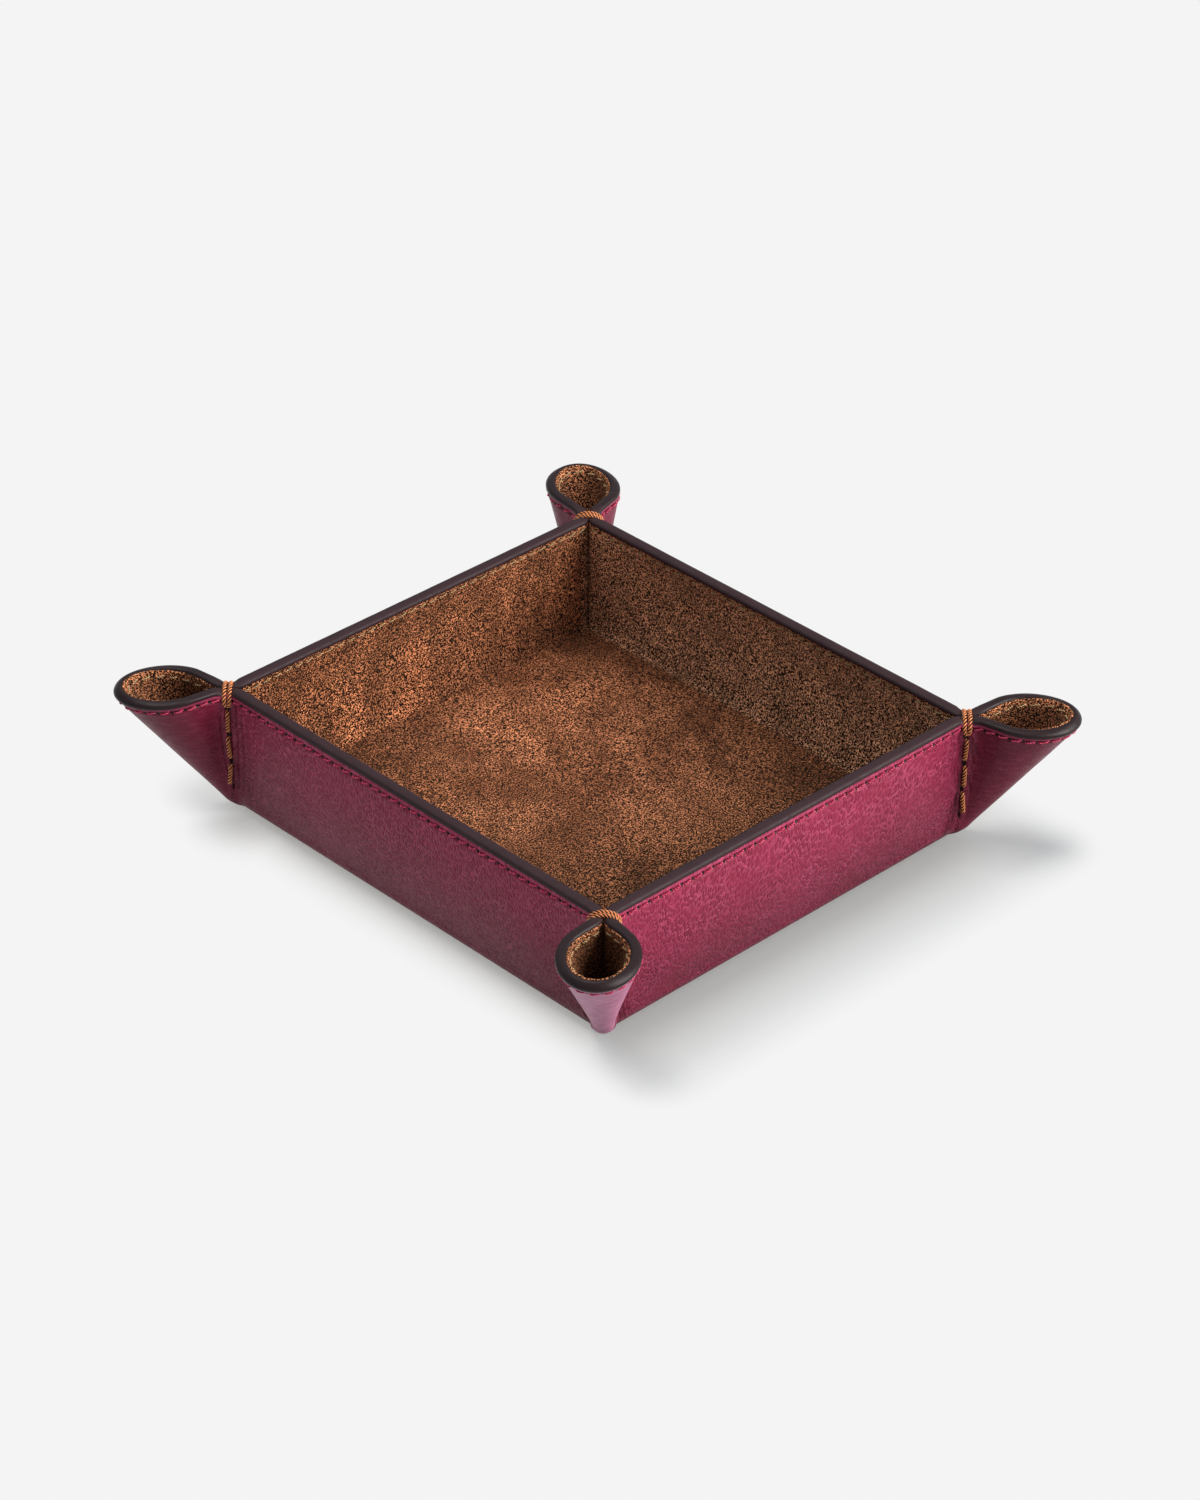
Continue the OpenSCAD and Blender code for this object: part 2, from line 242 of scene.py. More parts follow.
# Columns to a stitch, the stitches by a corner that have twice as many, and the steps that every corner has
STITCH_PARTS = 4
CLOSE_STITCHES = 2
LEAST_GAP = 0.1
CORNER_STEPS = np.concatenate(
    [filled([0, PINCH_AT], 0.5), filled([PINCH_AT, THROAT_AT], 0.13), filled([THROAT_AT, SIDE_AT], 0.4)]
)
AFAR = 1e9
TINY = 1e-6


class Columns:
    """Every column round the tray for one face, with those of the walls between the corners' own.

    They are laid on the rim stitches of that face, so that each needle hole falls on a column.
    """

    def __init__(self, depth, wall_u, ear_u):
        self.depth = depth
        self.fine = np.linspace(0, LAST_STEP, FINE_STEPS)
        u = rim_path(self.fine)[0]
        self.t_wall, self.t_ear, self.t_seam = (np.interp(x, u, self.fine) for x in (wall_u, ear_u, SEAM_U))
        halves = [(k, s) for k in range(4) for s in (-1, 1)]
        self.lines = {half: self.stitch_line(*half) for half in halves}
        self.ways = {half: way_along(line) for half, line in self.lines.items()}
        self.own, self.plan, self.runs, self.seams = [], [], [], {}
        self.total = 0.0
        for k in range(4):
            self.lay_corner(k)
            self.lay_wall(k)
        corner, side, t = np.hstack(self.own)
        self.keys = Keys(corner.astype(int), side, t)
        a, b, w, self.along = np.hstack(self.plan)
        self.a, self.b, self.w = a.astype(int), b.astype(int), w[:, None]
        self.count = len(a)
        self.up = unit(self.spread(self.keys.turned(self.keys.up)))
        self.out_rim = unit(self.spread(self.keys.turned(self.keys.out_rim)))
        self.out_foot = unit(self.spread(self.keys.turned(self.keys.out_foot)))
        self.ear = self.spread(np.clip(self.keys.far * 4, 0, 1)[:, None])[:, 0]
        self.laps = (-self.total, 0, self.total)
        self.mark_seams()
        self.mark_holes()

    def stitch_line(self, corner, side):
        """The rim stitches' line round half a corner, at fine steps."""
        keys = Keys(np.full(FINE_STEPS, corner), np.full(FINE_STEPS, side), self.fine)
        rim = keys.rim_at(self.depth)
        return rim + STITCH_INSET * unit(keys.foot_at(self.depth) - rim)

    def way_at(self, corner, side, t):
        """How far along the stitch line steps t of a half corner lie, from where the corner starts."""
        way = np.interp(t, self.fine, self.ways[corner, side])
        return way if side < 0 else self.ways[corner, -1][-1] + self.ways[corner, 1][-1] - way

    def lay_corner(self, k):
        """Adds a corner's columns: the steps that each has, and those of its ear's stitches."""
        tip = self.ways[k, -1][-1]
        length = tip + self.ways[k, 1][-1]
        start, end = self.way_at(k, -1, self.t_ear), self.way_at(k, 1, self.t_ear)
        marks = stitch_marks(start, end, STITCH_PARTS)
        for s, ways in ((-1, marks[marks < tip]), (1, length - marks[marks > tip])):
            t = np.interp(ways, self.ways[k, s], self.fine)
            t = np.unique(np.concatenate([CORNER_STEPS, t[t > SIDE_AT + 0.05], [LAST_STEP]]))
            if s > 0:
                t = t[-2::-1]
            first = sum(len(own[0]) for own in self.own)
            index = np.arange(first, first + len(t))
            self.own.append((0 * t + k, 0 * t + s, t))
            self.plan.append((index, index, 0 * t, self.total + self.way_at(k, s, t)))
            self.seams[k, s] = self.total + self.way_at(k, s, self.t_seam)
        self.runs.append((self.total + start, self.total + end))
        self.total += length

    def lay_wall(self, k):
        """Adds the columns of the wall between a corner's last column and the next corner's first."""
        ahead = (k + 1) % 4
        length = np.linalg.norm(self.lines[ahead, -1][0] - self.lines[k, 1][0])
        start = -np.interp(self.t_wall, self.fine, self.ways[k, 1])
        end = length + np.interp(self.t_wall, self.fine, self.ways[ahead, -1])
        marks = stitch_marks(start, end, STITCH_PARTS)
        close = stitch_marks(start, end, 2 * STITCH_PARTS)
        near = CLOSE_STITCHES * (marks[STITCH_PARTS] - marks[0])
        close = close[(close < near) | (close > length - near)]
        ways = np.unique(np.round(np.concatenate([marks, close]), 6))
        ways = ways[(ways > LEAST_GAP) & (ways < length - LEAST_GAP)]
        after = sum(len(own[0]) for own in self.own)
        before, after = 0 * ways + after - 1, 0 * ways + after * (ahead > 0)
        self.plan.append((before, after, ways / length, self.total + ways))
        self.runs.append((self.total + start, self.total + end))
        self.total += length

    def spread(self, ring):
        """Values of the corners' columns, spread to every column."""
        return ring[self.a] * (1 - self.w) + ring[self.b] * self.w

    def mark_seams(self):
        """For each column, the half corner that it is nearest to and how far it lies from the sewn line."""
        self.half = np.zeros(self.count, int)
        self.from_seam = np.full(self.count, AFAR)
        for (k, s), seam in self.seams.items():
            for lap in self.laps:
                wallward = (self.along + lap - seam) * s
                nearer = np.abs(wallward) < np.abs(self.from_seam)
                self.from_seam[nearer] = wallward[nearer]
                self.half[nearer] = 2 * k + (s > 0)

    def mark_holes(self):
        """For each column, how far along the line it lies from the nearest needle hole, or nan in a pinch."""
        self.to_hole = np.full(self.count, np.nan)
        self.holes = [stitch_marks(start, end) for start, end in self.runs]
        for holes in self.holes:
            for lap in self.laps:
                way = self.along + lap
                inside = (way > holes[0] - TINY) & (way < holes[-1] + TINY)
                if inside.any():
                    self.to_hole[inside] = np.abs(way[inside, None] - holes).min(axis=1)

    def rim_at(self, depth):
        return self.spread(self.keys.rim_at(depth))

    def foot_at(self, depth):
        return self.spread(self.keys.foot_at(depth))

    def bend_at(self, depth, s):
        return self.spread(self.keys.bend_at(depth, s))

    def bow(self, share):
        """How far the walls bow outward at that share of their height, away from the sewn corners."""
        free = np.clip(self.from_seam / BOW_REACH, 0, 1)
        return WALL_BOW * 4 * share * (1 - share) * free * free * (3 - 2 * free)


# How far along the diagonal the corner thread and the closed pinch stop the rim stitches, as in the model
SEAM_CLEAR = CORD_D + 0.02 + THREAD_D / 2
THREAD_ROOM = THREAD_D + 0.25 + 0.02 - HALF_GAP
LIP_ROOM_U = PINCH_START - LIP_R * math.sin(math.acos(1 - THREAD_ROOM / LIP_R))
THROAT_ROOM_U = PINCH_END + THROAT_R * math.sin(math.acos(1 - THREAD_ROOM / THROAT_R))
outside = Columns(SHEET_T, SEAM_U - SEAM_CLEAR, SEAM_U + SEAM_CLEAR)
inside = Columns(0, LIP_ROOM_U, THROAT_ROOM_U)


# Creases by half corner: points are distance from the sewn line, towards the wall, and height
CREASES = {
    (RIGHT, -1): [
        (0.34, 0.5, [(2.2, 16), (2.7, 11), (3.8, 6), (5.4, 2.6)]),
        (0.28, 0.45, [(3.8, 13.5), (4.8, 8.5), (6.2, 4)]),
        (0.22, 0.42, [(-1.4, 35), (-2.8, 32.6), (-4.8, 29.5)]),
        (0.16, 0.4, [(-1.5, 32.5), (-2.4, 30), (-3.1, 27)]),
        (0.24, 0.42, [(-1.4, 22.5), (-2.8, 19.8), (-4.4, 16.8)]),
    ],
    (FRONT, 1): [
        (0.34, 0.45, [(1.7, 16), (2.1, 9), (3.2, 3.2)]),
        (0.28, 0.45, [(3.0, 15), (3.4, 9), (4.7, 3.2)]),
        (0.18, 0.45, [(4.6, 12.5), (5.0, 8), (6.2, 3.6)]),
    ],
    (FRONT, -1): [
        (0.2, 0.5, [(1.9, 15), (2.5, 9), (3.6, 3.2)]),
    ],
    (LEFT, 1): [
        (0.24, 0.7, [(2.3, 36), (2.7, 24), (2.4, 9)]),
        (0.18, 0.8, [(4.6, 34), (5.2, 22), (4.8, 8)]),
        (0.1, 0.9, [(7.2, 32), (7.7, 20), (7.4, 9)]),
        (0.16, 0.6, [(-2.4, 33), (-2.9, 22), (-2.4, 12)]),
    ],
    (LEFT, -1): [
        (0.28, 0.5, [(2.0, 15), (2.6, 9), (3.8, 3.4)]),
        (0.18, 0.5, [(3.6, 13), (4.3, 8), (5.6, 3.6)]),
    ],
    (RIGHT, 1): [
        (0.3, 0.5, [(1.9, 17), (2.5, 10), (3.6, 3.4)]),
        (0.2, 0.45, [(-1.5, 24), (-2.8, 21), (-4.2, 18)]),
    ],
    (BACK, -1): [
        (0.28, 0.5, [(2.0, 14), (2.8, 8), (4.2, 3.2)]),
        (0.2, 0.7, [(3.0, 34), (3.4, 24), (3.0, 14)]),
    ],
    (BACK, 1): [
        (0.3, 0.5, [(1.8, 16), (2.4, 9), (3.6, 3.2)]),
        (0.22, 0.45, [(3.4, 13), (4.0, 8), (5.2, 3.6)]),
    ],
}

# Forms along the rim: height, distance below the rim and width
LEATHER_GROOVE = (-0.2, STITCH_INSET, 0.5)
PLAIN_GROOVE = (-0.14, STITCH_INSET, 0.5)
SUEDE_GROOVE = (-0.1, STITCH_INSET, 0.5)
UPPER_PUFF = (0.2, 0.95, 0.4)
LOWER_PUFF = (0.12, 2.8, 0.6)

# Dents round a needle hole in each skin, round a punched hole and under the waxed thread, in the same way
NEEDLE_DENT = (-0.3, 0, 0.5)
SUEDE_NEEDLE_DENT = (-0.15, 0, 0.4)
PUNCHED_DENT = (-0.55, 0, 0.75)
CORD_DENT = (-0.3, 0, 0.9)
PUNCHED_R = 0.35

# Creases: how deep they are and how much painted shade darkens them for the depth given, and the share of it
# that their lips stand up
CREASE_DEPTH = 1.7
CREASE_SHADE = 2.4
CREASE_LIP = 0.4

# Slow waves of a surface: height, size and seed
LEATHER_WAVES = ((0.16, 24, 1), (0.05, 7, 2))
SUEDE_WAVES = ((0.22, 26, 3), (0.08, 9, 4))
FLOOR_WAVES = ((0.16, 30, 5), (0.05, 10, 6))
BEAD_WAVES = ((0.035, 6, 8),)

# Distances given where no hole is near, and to the rim from the bends and the floor
NO_HOLE = 9.0
BEND_TO_RIM = 30.0
FLOOR_TO_RIM = 60.0


def away(a, z, points):
    """Distance of the places (a, z) from a line of points."""
    best = np.full(a.shape, AFAR)
    for (a0, z0), (a1, z1) in zip(points, points[1:]):
        length = (a1 - a0) ** 2 + (z1 - z0) ** 2
        way = np.clip(((a - a0) * (a1 - a0) + (z - z0) * (z1 - z0)) / length, 0, 1)
        best = np.minimum(best, np.hypot(a - a0 - way * (a1 - a0), z - z0 - way * (z1 - z0)))
    return best


def bell(x, width):
    return np.exp(-((x / width) ** 2))


def rise(x, low, high):
    """Goes from 0 to 1 while x goes from low to high."""
    return np.clip((x - low) / (high - low), 0, 1)


def raised(distance, form):
    """How high a form stands at distances from where it is measured."""
    height, at, width = form
    return height * bell(distance - at, width)


def swell(points, waves):
    """Smooth noise at points in millimetres, with waves of these heights, sizes and seeds."""
    total = np.zeros(len(points))
    for height, size, seed in waves:
        shift = Vector((seed * 7.3, seed * 3.1, seed * 5.7))
        total += height * np.array([noise.noise(Vector(p) / size + shift) for p in points])
    return total


def hole_distance(cols, drop, z):
    """How far a row's vertices lie from any hole, from a needle hole and from a punched hole's middle."""
    needle = np.hypot(np.where(np.isnan(cols.to_hole), NO_HOLE, cols.to_hole), drop - STITCH_INSET)
    punched = np.full(cols.count, NO_HOLE)
    for height in HOLE_HEIGHTS:
        punched = np.minimum(punched, np.hypot(cols.from_seam, z - height))
    return np.minimum(needle, np.maximum(punched - PUNCHED_R, 0)), needle, punched


def creases_near(cols, z):
    """For each crease: its depth, its width, which columns have it and how far they lie from it."""
    for (corner, side), creases in CREASES.items():
        own = cols.half == 2 * corner + (side > 0)
        for depth, width, places in creases:
            yield depth, width, own, away(cols.from_seam, z, places)


def beside_thread(z):
    """Where a sewn corner's thread runs down the face."""
    return (z < FIRST_HOLE_Z + 1) & (z > HOLE_HEIGHTS[-1] - 1)


def leather_relief(cols, points, drop):
    """How far the outside stands over its even face: stitch line, holes, creases and slow waves."""
    z = points[:, 2]
    _, needle, punched = hole_distance(cols, drop, z)
    sewn = ~np.isnan(cols.to_hole)
    phase = np.clip(np.nan_to_num(cols.to_hole) / (STITCH_PITCH / 2), 0, 1)
    between = np.where(sewn, 0.5 - 0.5 * np.cos(np.pi * phase), 0)
    line = raised(drop, LEATHER_GROOVE) + raised(needle, NEEDLE_DENT)
    line = line + (0.3 + 0.7 * between) * (raised(drop, UPPER_PUFF) + raised(drop, LOWER_PUFF))
    dents = raised(punched, PUNCHED_DENT) + raised(cols.from_seam, CORD_DENT) * beside_thread(z)
    total = np.where(sewn, line, raised(drop, PLAIN_GROOVE)) + dents
    for depth, width, own, d in creases_near(cols, z):
        lip = CREASE_LIP * bell(d - 2 * width, width)
        total = total + own * CREASE_DEPTH * depth * (lip - bell(d, width))
    fade = rise(drop, 2, 8) * rise(z, 1, 7) * rise(np.abs(cols.from_seam), 0, 8)
    return total + fade * swell(points, LEATHER_WAVES)


def surface_marks(cols, drop, z):
    """What the materials ask of each vertex: rim and holes, painted shade in creases and grooves, painted
    highlights, a painted reflection, ears and seams.
    """
    hole, _, _ = hole_distance(cols, drop, z)
    sewn = ~np.isnan(cols.to_hole)
    # The dark value is painted shade: in the stitch line's groove, beside a corner's waxed thread and in the
    # creases
    dark = 0.5 * sewn * bell(drop - STITCH_INSET, 0.42) + 0.85 * beside_thread(z) * bell(cols.from_seam, 1.3)
    for depth, width, own, d in creases_near(cols, z):
        dark = dark + own * CREASE_SHADE * depth * bell(d, width)
    # Painted shade on the front-left wall by the front ear, deepest at the foot
    front_left = cols.half == 2 * FRONT
    dark = dark + 0.4 * front_left * bell(cols.from_seam, 30) * rise(z, 28, 0)
    # Painted highlight: the strip between the stitch line and the rim, and the ears' top edge, lightened as
    # if catching light
    painted_highlight = 0.7 * sewn * bell(drop - 0.95, 0.4) + cols.ear * bell(drop - 0.55, 0.22)
    return {
        "rim_distance": drop,
        "hole_distance": np.minimum(hole, NO_HOLE),
        "dark": np.clip(dark, 0, 1),
        "painted_highlight": np.clip(painted_highlight, 0, 1),
        "ear": cols.ear,
        "seam": bell(cols.from_seam, 5.5),
        # Painted reflection: the front ear's face, made pale as if mirroring the bright floor in its gloss
        "painted_reflection": (cols.half // 2 == FRONT) * rise(-cols.from_seam, 5, 10),
    }


def suede_relief(cols, points, drop):
    """The same for the suede: its stitch line, the pressed pinches and the soft waves of the glued lining."""
    _, needle, _ = hole_distance(cols, drop, points[:, 2])
    line = raised(drop, SUEDE_GROOVE) + raised(needle, SUEDE_NEEDLE_DENT)
    line = np.where(np.isnan(cols.to_hole), 0, line)
    from_seam = np.abs(cols.from_seam)
    fade = rise(drop, 2, 7) * rise(from_seam, 3, 11) * (1 - cols.ear)
    pressed = HALF_GAP * rise(from_seam, 2.4, 1.4)
    return line + pressed + fade * swell(points, SUEDE_WAVES)


def add_object(name, data):
    item = bpy.data.objects.new(name, data)
    bpy.context.scene.collection.objects.link(item)
    return item


class Shape:
    """Vertices in millimetres and faces of one piece as it is built, with values for each vertex."""

    def __init__(self):
        self.points = []
        self.faces = []
        self.values = {}
        self.size = 0

    def add(self, points, **values):
        """Adds vertices with their values, and gives the number of the first."""
        start = self.size
        self.points.append(points)
        self.size += len(points)
        for name, value in values.items():
            self.values.setdefault(name, []).append((start, value))
        return start

    def band(self, low, high, count):
        """Faces between two closed rings that start at these vertices."""
        for n in range(count):
            m = (n + 1) % count
            self.faces.append((low + n, low + m, high + m, high + n))

    def floor(self, ring_start, ring, spacing, lift):
        """Fills a ring with even triangles, its inner points lifted by a function of their place."""
        xs = np.arange(ring[:, 0].min() + spacing, ring[:, 0].max() - 0.6 * spacing, spacing)
        ys = np.arange(ring[:, 1].min() + spacing, ring[:, 1].max() - 0.6 * spacing, spacing)
        grid = np.array([(x, y) for x in xs for y in ys])
        flat = [Vector(p[:2]) for p in ring] + [Vector(p) for p in grid]
        count = len(ring)
        edges = [(n, (n + 1) % count) for n in range(count)]
        _, _, faces, origins, _, _ = geometry.delaunay_2d_cdt(flat, edges, [], 1, 1e-5)
        z = ring[0][2]
        far = {"rim_distance": np.full(len(grid), FLOOR_TO_RIM), "hole_distance": np.full(len(grid), NO_HOLE)}
        start = self.add(np.column_stack([grid, z + lift(grid, z)]), **far)
        where = [ring_start + o[0] if o[0] < count else start + o[0] - count for o in origins]
        self.faces += [tuple(where[v] for v in f) for f in faces]

    def finish(self, name, material):
        """Makes the object, in metres, with its normals outward and its faces smooth."""
        mesh = bpy.data.meshes.new(name)
        mesh.from_pydata((np.concatenate(self.points) * MM).tolist(), [], self.faces)
        mesh.update()
        for value_name, blocks in self.values.items():
            data = np.zeros(self.size, np.float32)
            for start, value in blocks:
                data[start : start + len(value)] = value
            mesh.attributes.new(value_name, "FLOAT", "POINT").data.foreach_set("value", data)
        work = bmesh.new()
        work.from_mesh(mesh)
        bmesh.ops.recalc_face_normals(work, faces=work.faces)
        work.to_mesh(mesh)
        work.free()
        mesh.polygons.foreach_set("use_smooth", [True] * len(mesh.polygons))
        mesh.materials.append(material)
        return add_object(name, mesh)


def still(grid, z):
    return 0 * grid[:, 0]


def suede_floor(grid, z):
    """The floor's soft unevenness, which dies out at its edge."""
    edge = np.minimum(INNER_X / 2 - np.abs(grid[:, 0]), INNER_Y / 2 - np.abs(grid[:, 1])) - BEND_R
    points = np.column_stack([grid, z + 0 * grid[:, 0]])
    return np.clip(edge / 14, 0, 1) * swell(points, FLOOR_WAVES)


def shares_below(drops, step, marks=()):
    """Rows of the wall below the last drop, as shares of that part: even ones, and those on the marks."""
    top = WALL_H - drops[-1]
    return filled([0, top, *marks], step)[:-1] / top


# Rows of the walls: distances below the rim, then shares of the rest, with more of them at the punched holes
LEATHER_DROPS = filled([0, 3, 3.4, 5.6], 0.31)
HOLE_ROWS = (-1.1, -0.7, -0.35, 0, 0.35, 0.7, 1.1)
HOLE_MARKS = [height - FOOT_Z + row for height in HOLE_HEIGHTS[1:] for row in HOLE_ROWS]
LEATHER_SHARES = shares_below(LEATHER_DROPS, 1.6, HOLE_MARKS)
SUEDE_DROPS = filled([0, 3.2], 0.32)
SUEDE_SHARES = shares_below(SUEDE_DROPS, 1.5)
HIDDEN_SHARES = (0, 0.25, 0.5, 0.75, 1)
BENDS = 8
HIDDEN_BENDS = 3
FLOOR_SPACING = 2.5
HIDDEN_FLOOR = (8.0, still)

# The suede's cut edge stands up in a soft ridge, mostly on the ears: place inward and share of its height
ROLL_H = 0.42
ROLL = ((0.12, 0.7), (0.42, 1.0), (0.8, 0.6))


def face_rings(cols, depth, bends, relief=None, sign=1, drops=None, shares=None):
    """Rings of one face from its floor's edge up to the rim, with how far below the rim each vertex lies.

    A face that shows has its relief and all its rows, and a hidden one has a few plain rows.
    """
    to_rim = np.full(cols.count, BEND_TO_RIM)
    rings = [(cols.bend_at(depth, s), to_rim) for s in np.arange(bends) / bends]
    rim, foot = cols.rim_at(depth), cols.foot_at(depth)
    long = np.linalg.norm(rim - foot, axis=1)
    if relief:
        down = unit(foot - rim)
        top = rim + down * drops[-1]
        rows = [(foot * (1 - s) + top * s, s * (1 - drops[-1] / long)) for s in shares]
        rows += [(rim + down * drop, 1 - drop / long) for drop in drops[::-1]]
    else:
        rows = [(foot * (1 - s) + rim * s, 0 * long + s) for s in HIDDEN_SHARES]
    for points, row in rows:
        share = row[:, None]
        drop = long * (1 - row)
        out = unit(cols.out_foot * (1 - share) + cols.out_rim * share)
        if relief:
            points = points + sign * relief(cols, points, drop)[:, None] * out
        rings.append((points + cols.bow(row)[:, None] * out, drop))
    return rings


def rolled_edge(cols, depth):
    """Rings of the soft ridge that the cut edge stands up in, beside the face at that depth."""
    height = ROLL_H * (0.25 + 0.75 * cols.ear) * (1 - bell(cols.from_seam, 2.0))
    for inward, share in ROLL:
        points = cols.rim_at(depth + inward) + (height * share)[:, None] * cols.up
        yield points, np.zeros(cols.count)


def make_sheet(name, material, cols, near, far, near_floor=HIDDEN_FLOOR, far_floor=HIDDEN_FLOOR):
    """One closed sheet from the rings of its two faces, with the spacing and the lift of their floors."""
    shape = Shape()
    rings = near + far[::-1]
    starts = [shape.add(points, **surface_marks(cols, drop, points[:, 2])) for points, drop in rings]
    for low, high in zip(starts, starts[1:]):
        shape.band(low, high, cols.count)
    shape.floor(starts[0], near[0][0], *near_floor)
    shape.floor(starts[-1], far[0][0], *far_floor)
    return shape.finish(name, material)


class Nodes:
    """The nodes of a material or a world. Values are set on their inputs, and outputs are linked to them."""

    def __init__(self, block):
        self.block = block
        block.use_nodes = True
        self.tree = block.node_tree
        self.tree.nodes.clear()

    def put(self, socket, value):
        if isinstance(value, bpy.types.NodeSocket):
            self.tree.links.new(value, socket)
        else:
            socket.default_value = value

    def add(self, kind, inputs=None, output=0, **settings):
        """Makes a shader node with these inputs and settings, and gives its output."""
        node = self.tree.nodes.new("ShaderNode" + kind)
        for name, value in settings.items():
            setattr(node, name, value)
        for name, value in (inputs or {}).items():
            self.put(node.inputs[name], value)
        return node.outputs[output]

    def math(self, operation, a, b=0.5):
        return self.add("Math", {0: a, 1: b}, operation=operation)

    def times(self, a, b):
        return self.math("MULTIPLY", a, b)

    def vector(self, operation, a, b=(0, 0, 0)):
        return self.add("VectorMath", {0: a, 1: b}, operation=operation)

    def measure(self, operation, a, b=(0, 0, 0)):
        """A vector's length, or the distance or the product of two."""
        return self.add("VectorMath", {0: a, 1: b}, output=1, operation=operation)

    def scaled(self, vector, share):
        return self.add("VectorMath", {0: vector, "Scale": share}, operation="SCALE")

    def part(self, vector, axis):
        return self.add("SeparateXYZ", {0: vector}, output=axis)

    def smooth(self, value, low, high, to_low=0, to_high=1):
        """Goes softly from to_low to to_high while the value goes from low to high."""
        inputs = {0: value, 1: low, 2: high, 3: to_low, 4: to_high}
        return self.add("MapRange", inputs, interpolation_type="SMOOTHSTEP")

    def mix(self, factor, a, b, way="MIX"):
        """A colour between two, or two laid over each other in another way."""
        return self.add("Mix", {0: factor, 6: a, 7: b}, output=2, data_type="RGBA", blend_type=way)

    def blend(self, factor, a, b):
        """A number between two."""
        return self.add("Mix", {0: factor, 2: a, 3: b}, data_type="FLOAT")

    def place(self):
        """The object's own coordinates in millimetres."""
        return self.scaled(self.add("TexCoord", output=3), 1 / MM)

    def stretched(self, place, axis, share):
        """Coordinates pressed together along an axis to that share, which draws out a pattern on them."""
        along = self.measure("DOT_PRODUCT", place, axis)
        return self.vector("SUBTRACT", place, self.scaled(axis, self.times(along, 1 - share)))

    def noise(self, place, size, detail=2, roughness=0.5, distortion=0, output=0):
        """Noise with features of about that size in millimetres."""
        grain = {"Detail": detail, "Roughness": roughness, "Distortion": distortion}
        return self.add("TexNoise", {"Vector": place, "Scale": 1 / size, **grain}, output)

    def cells(self, place, size):
        """How far places lie from the walls between cells of about that size."""
        return self.add("TexVoronoi", {"Vector": place, "Scale": 1 / size}, feature="DISTANCE_TO_EDGE")

    def value(self, name):
        """A value that the mesh has at each vertex."""
        return self.add("Attribute", output=2, attribute_name=name)

    def bump(self, height, strength, distance):
        return self.add("Bump", {"Strength": strength, "Distance": distance * MM, "Height": height})

    def finish(self, shader, kind="Material"):
        """Gives the block, with that shader as what it shows."""
        out = self.tree.nodes.new("ShaderNodeOutput" + kind)
        self.tree.links.new(shader, out.inputs[0])
        return self.block

    def surface(self, **inputs):
        """Gives the material, as a plain surface with these inputs."""
        named = {name.replace("_", " "): value for name, value in inputs.items()}
        return self.finish(self.add("BsdfPrincipled", named))


def new_material(name):
    return Nodes(bpy.data.materials.new(name))


# The way the hide's pebbles run, the way the suede was last brushed, and the way its streaks run on a wall
HIDE_RUN = (0.5, 0.42, 0.757)
NAP_RUN = (0.45, 0.65, 0.612)
STREAK_RUN = (0.25, 0, 0.968)
X_AXIS = (1, 0, 0)
Y_AXIS = (0, 1, 0)
Z_AXIS = (0, 0, 1)
MIDDLE_GREY = (0.5, 0.5, 0.5)


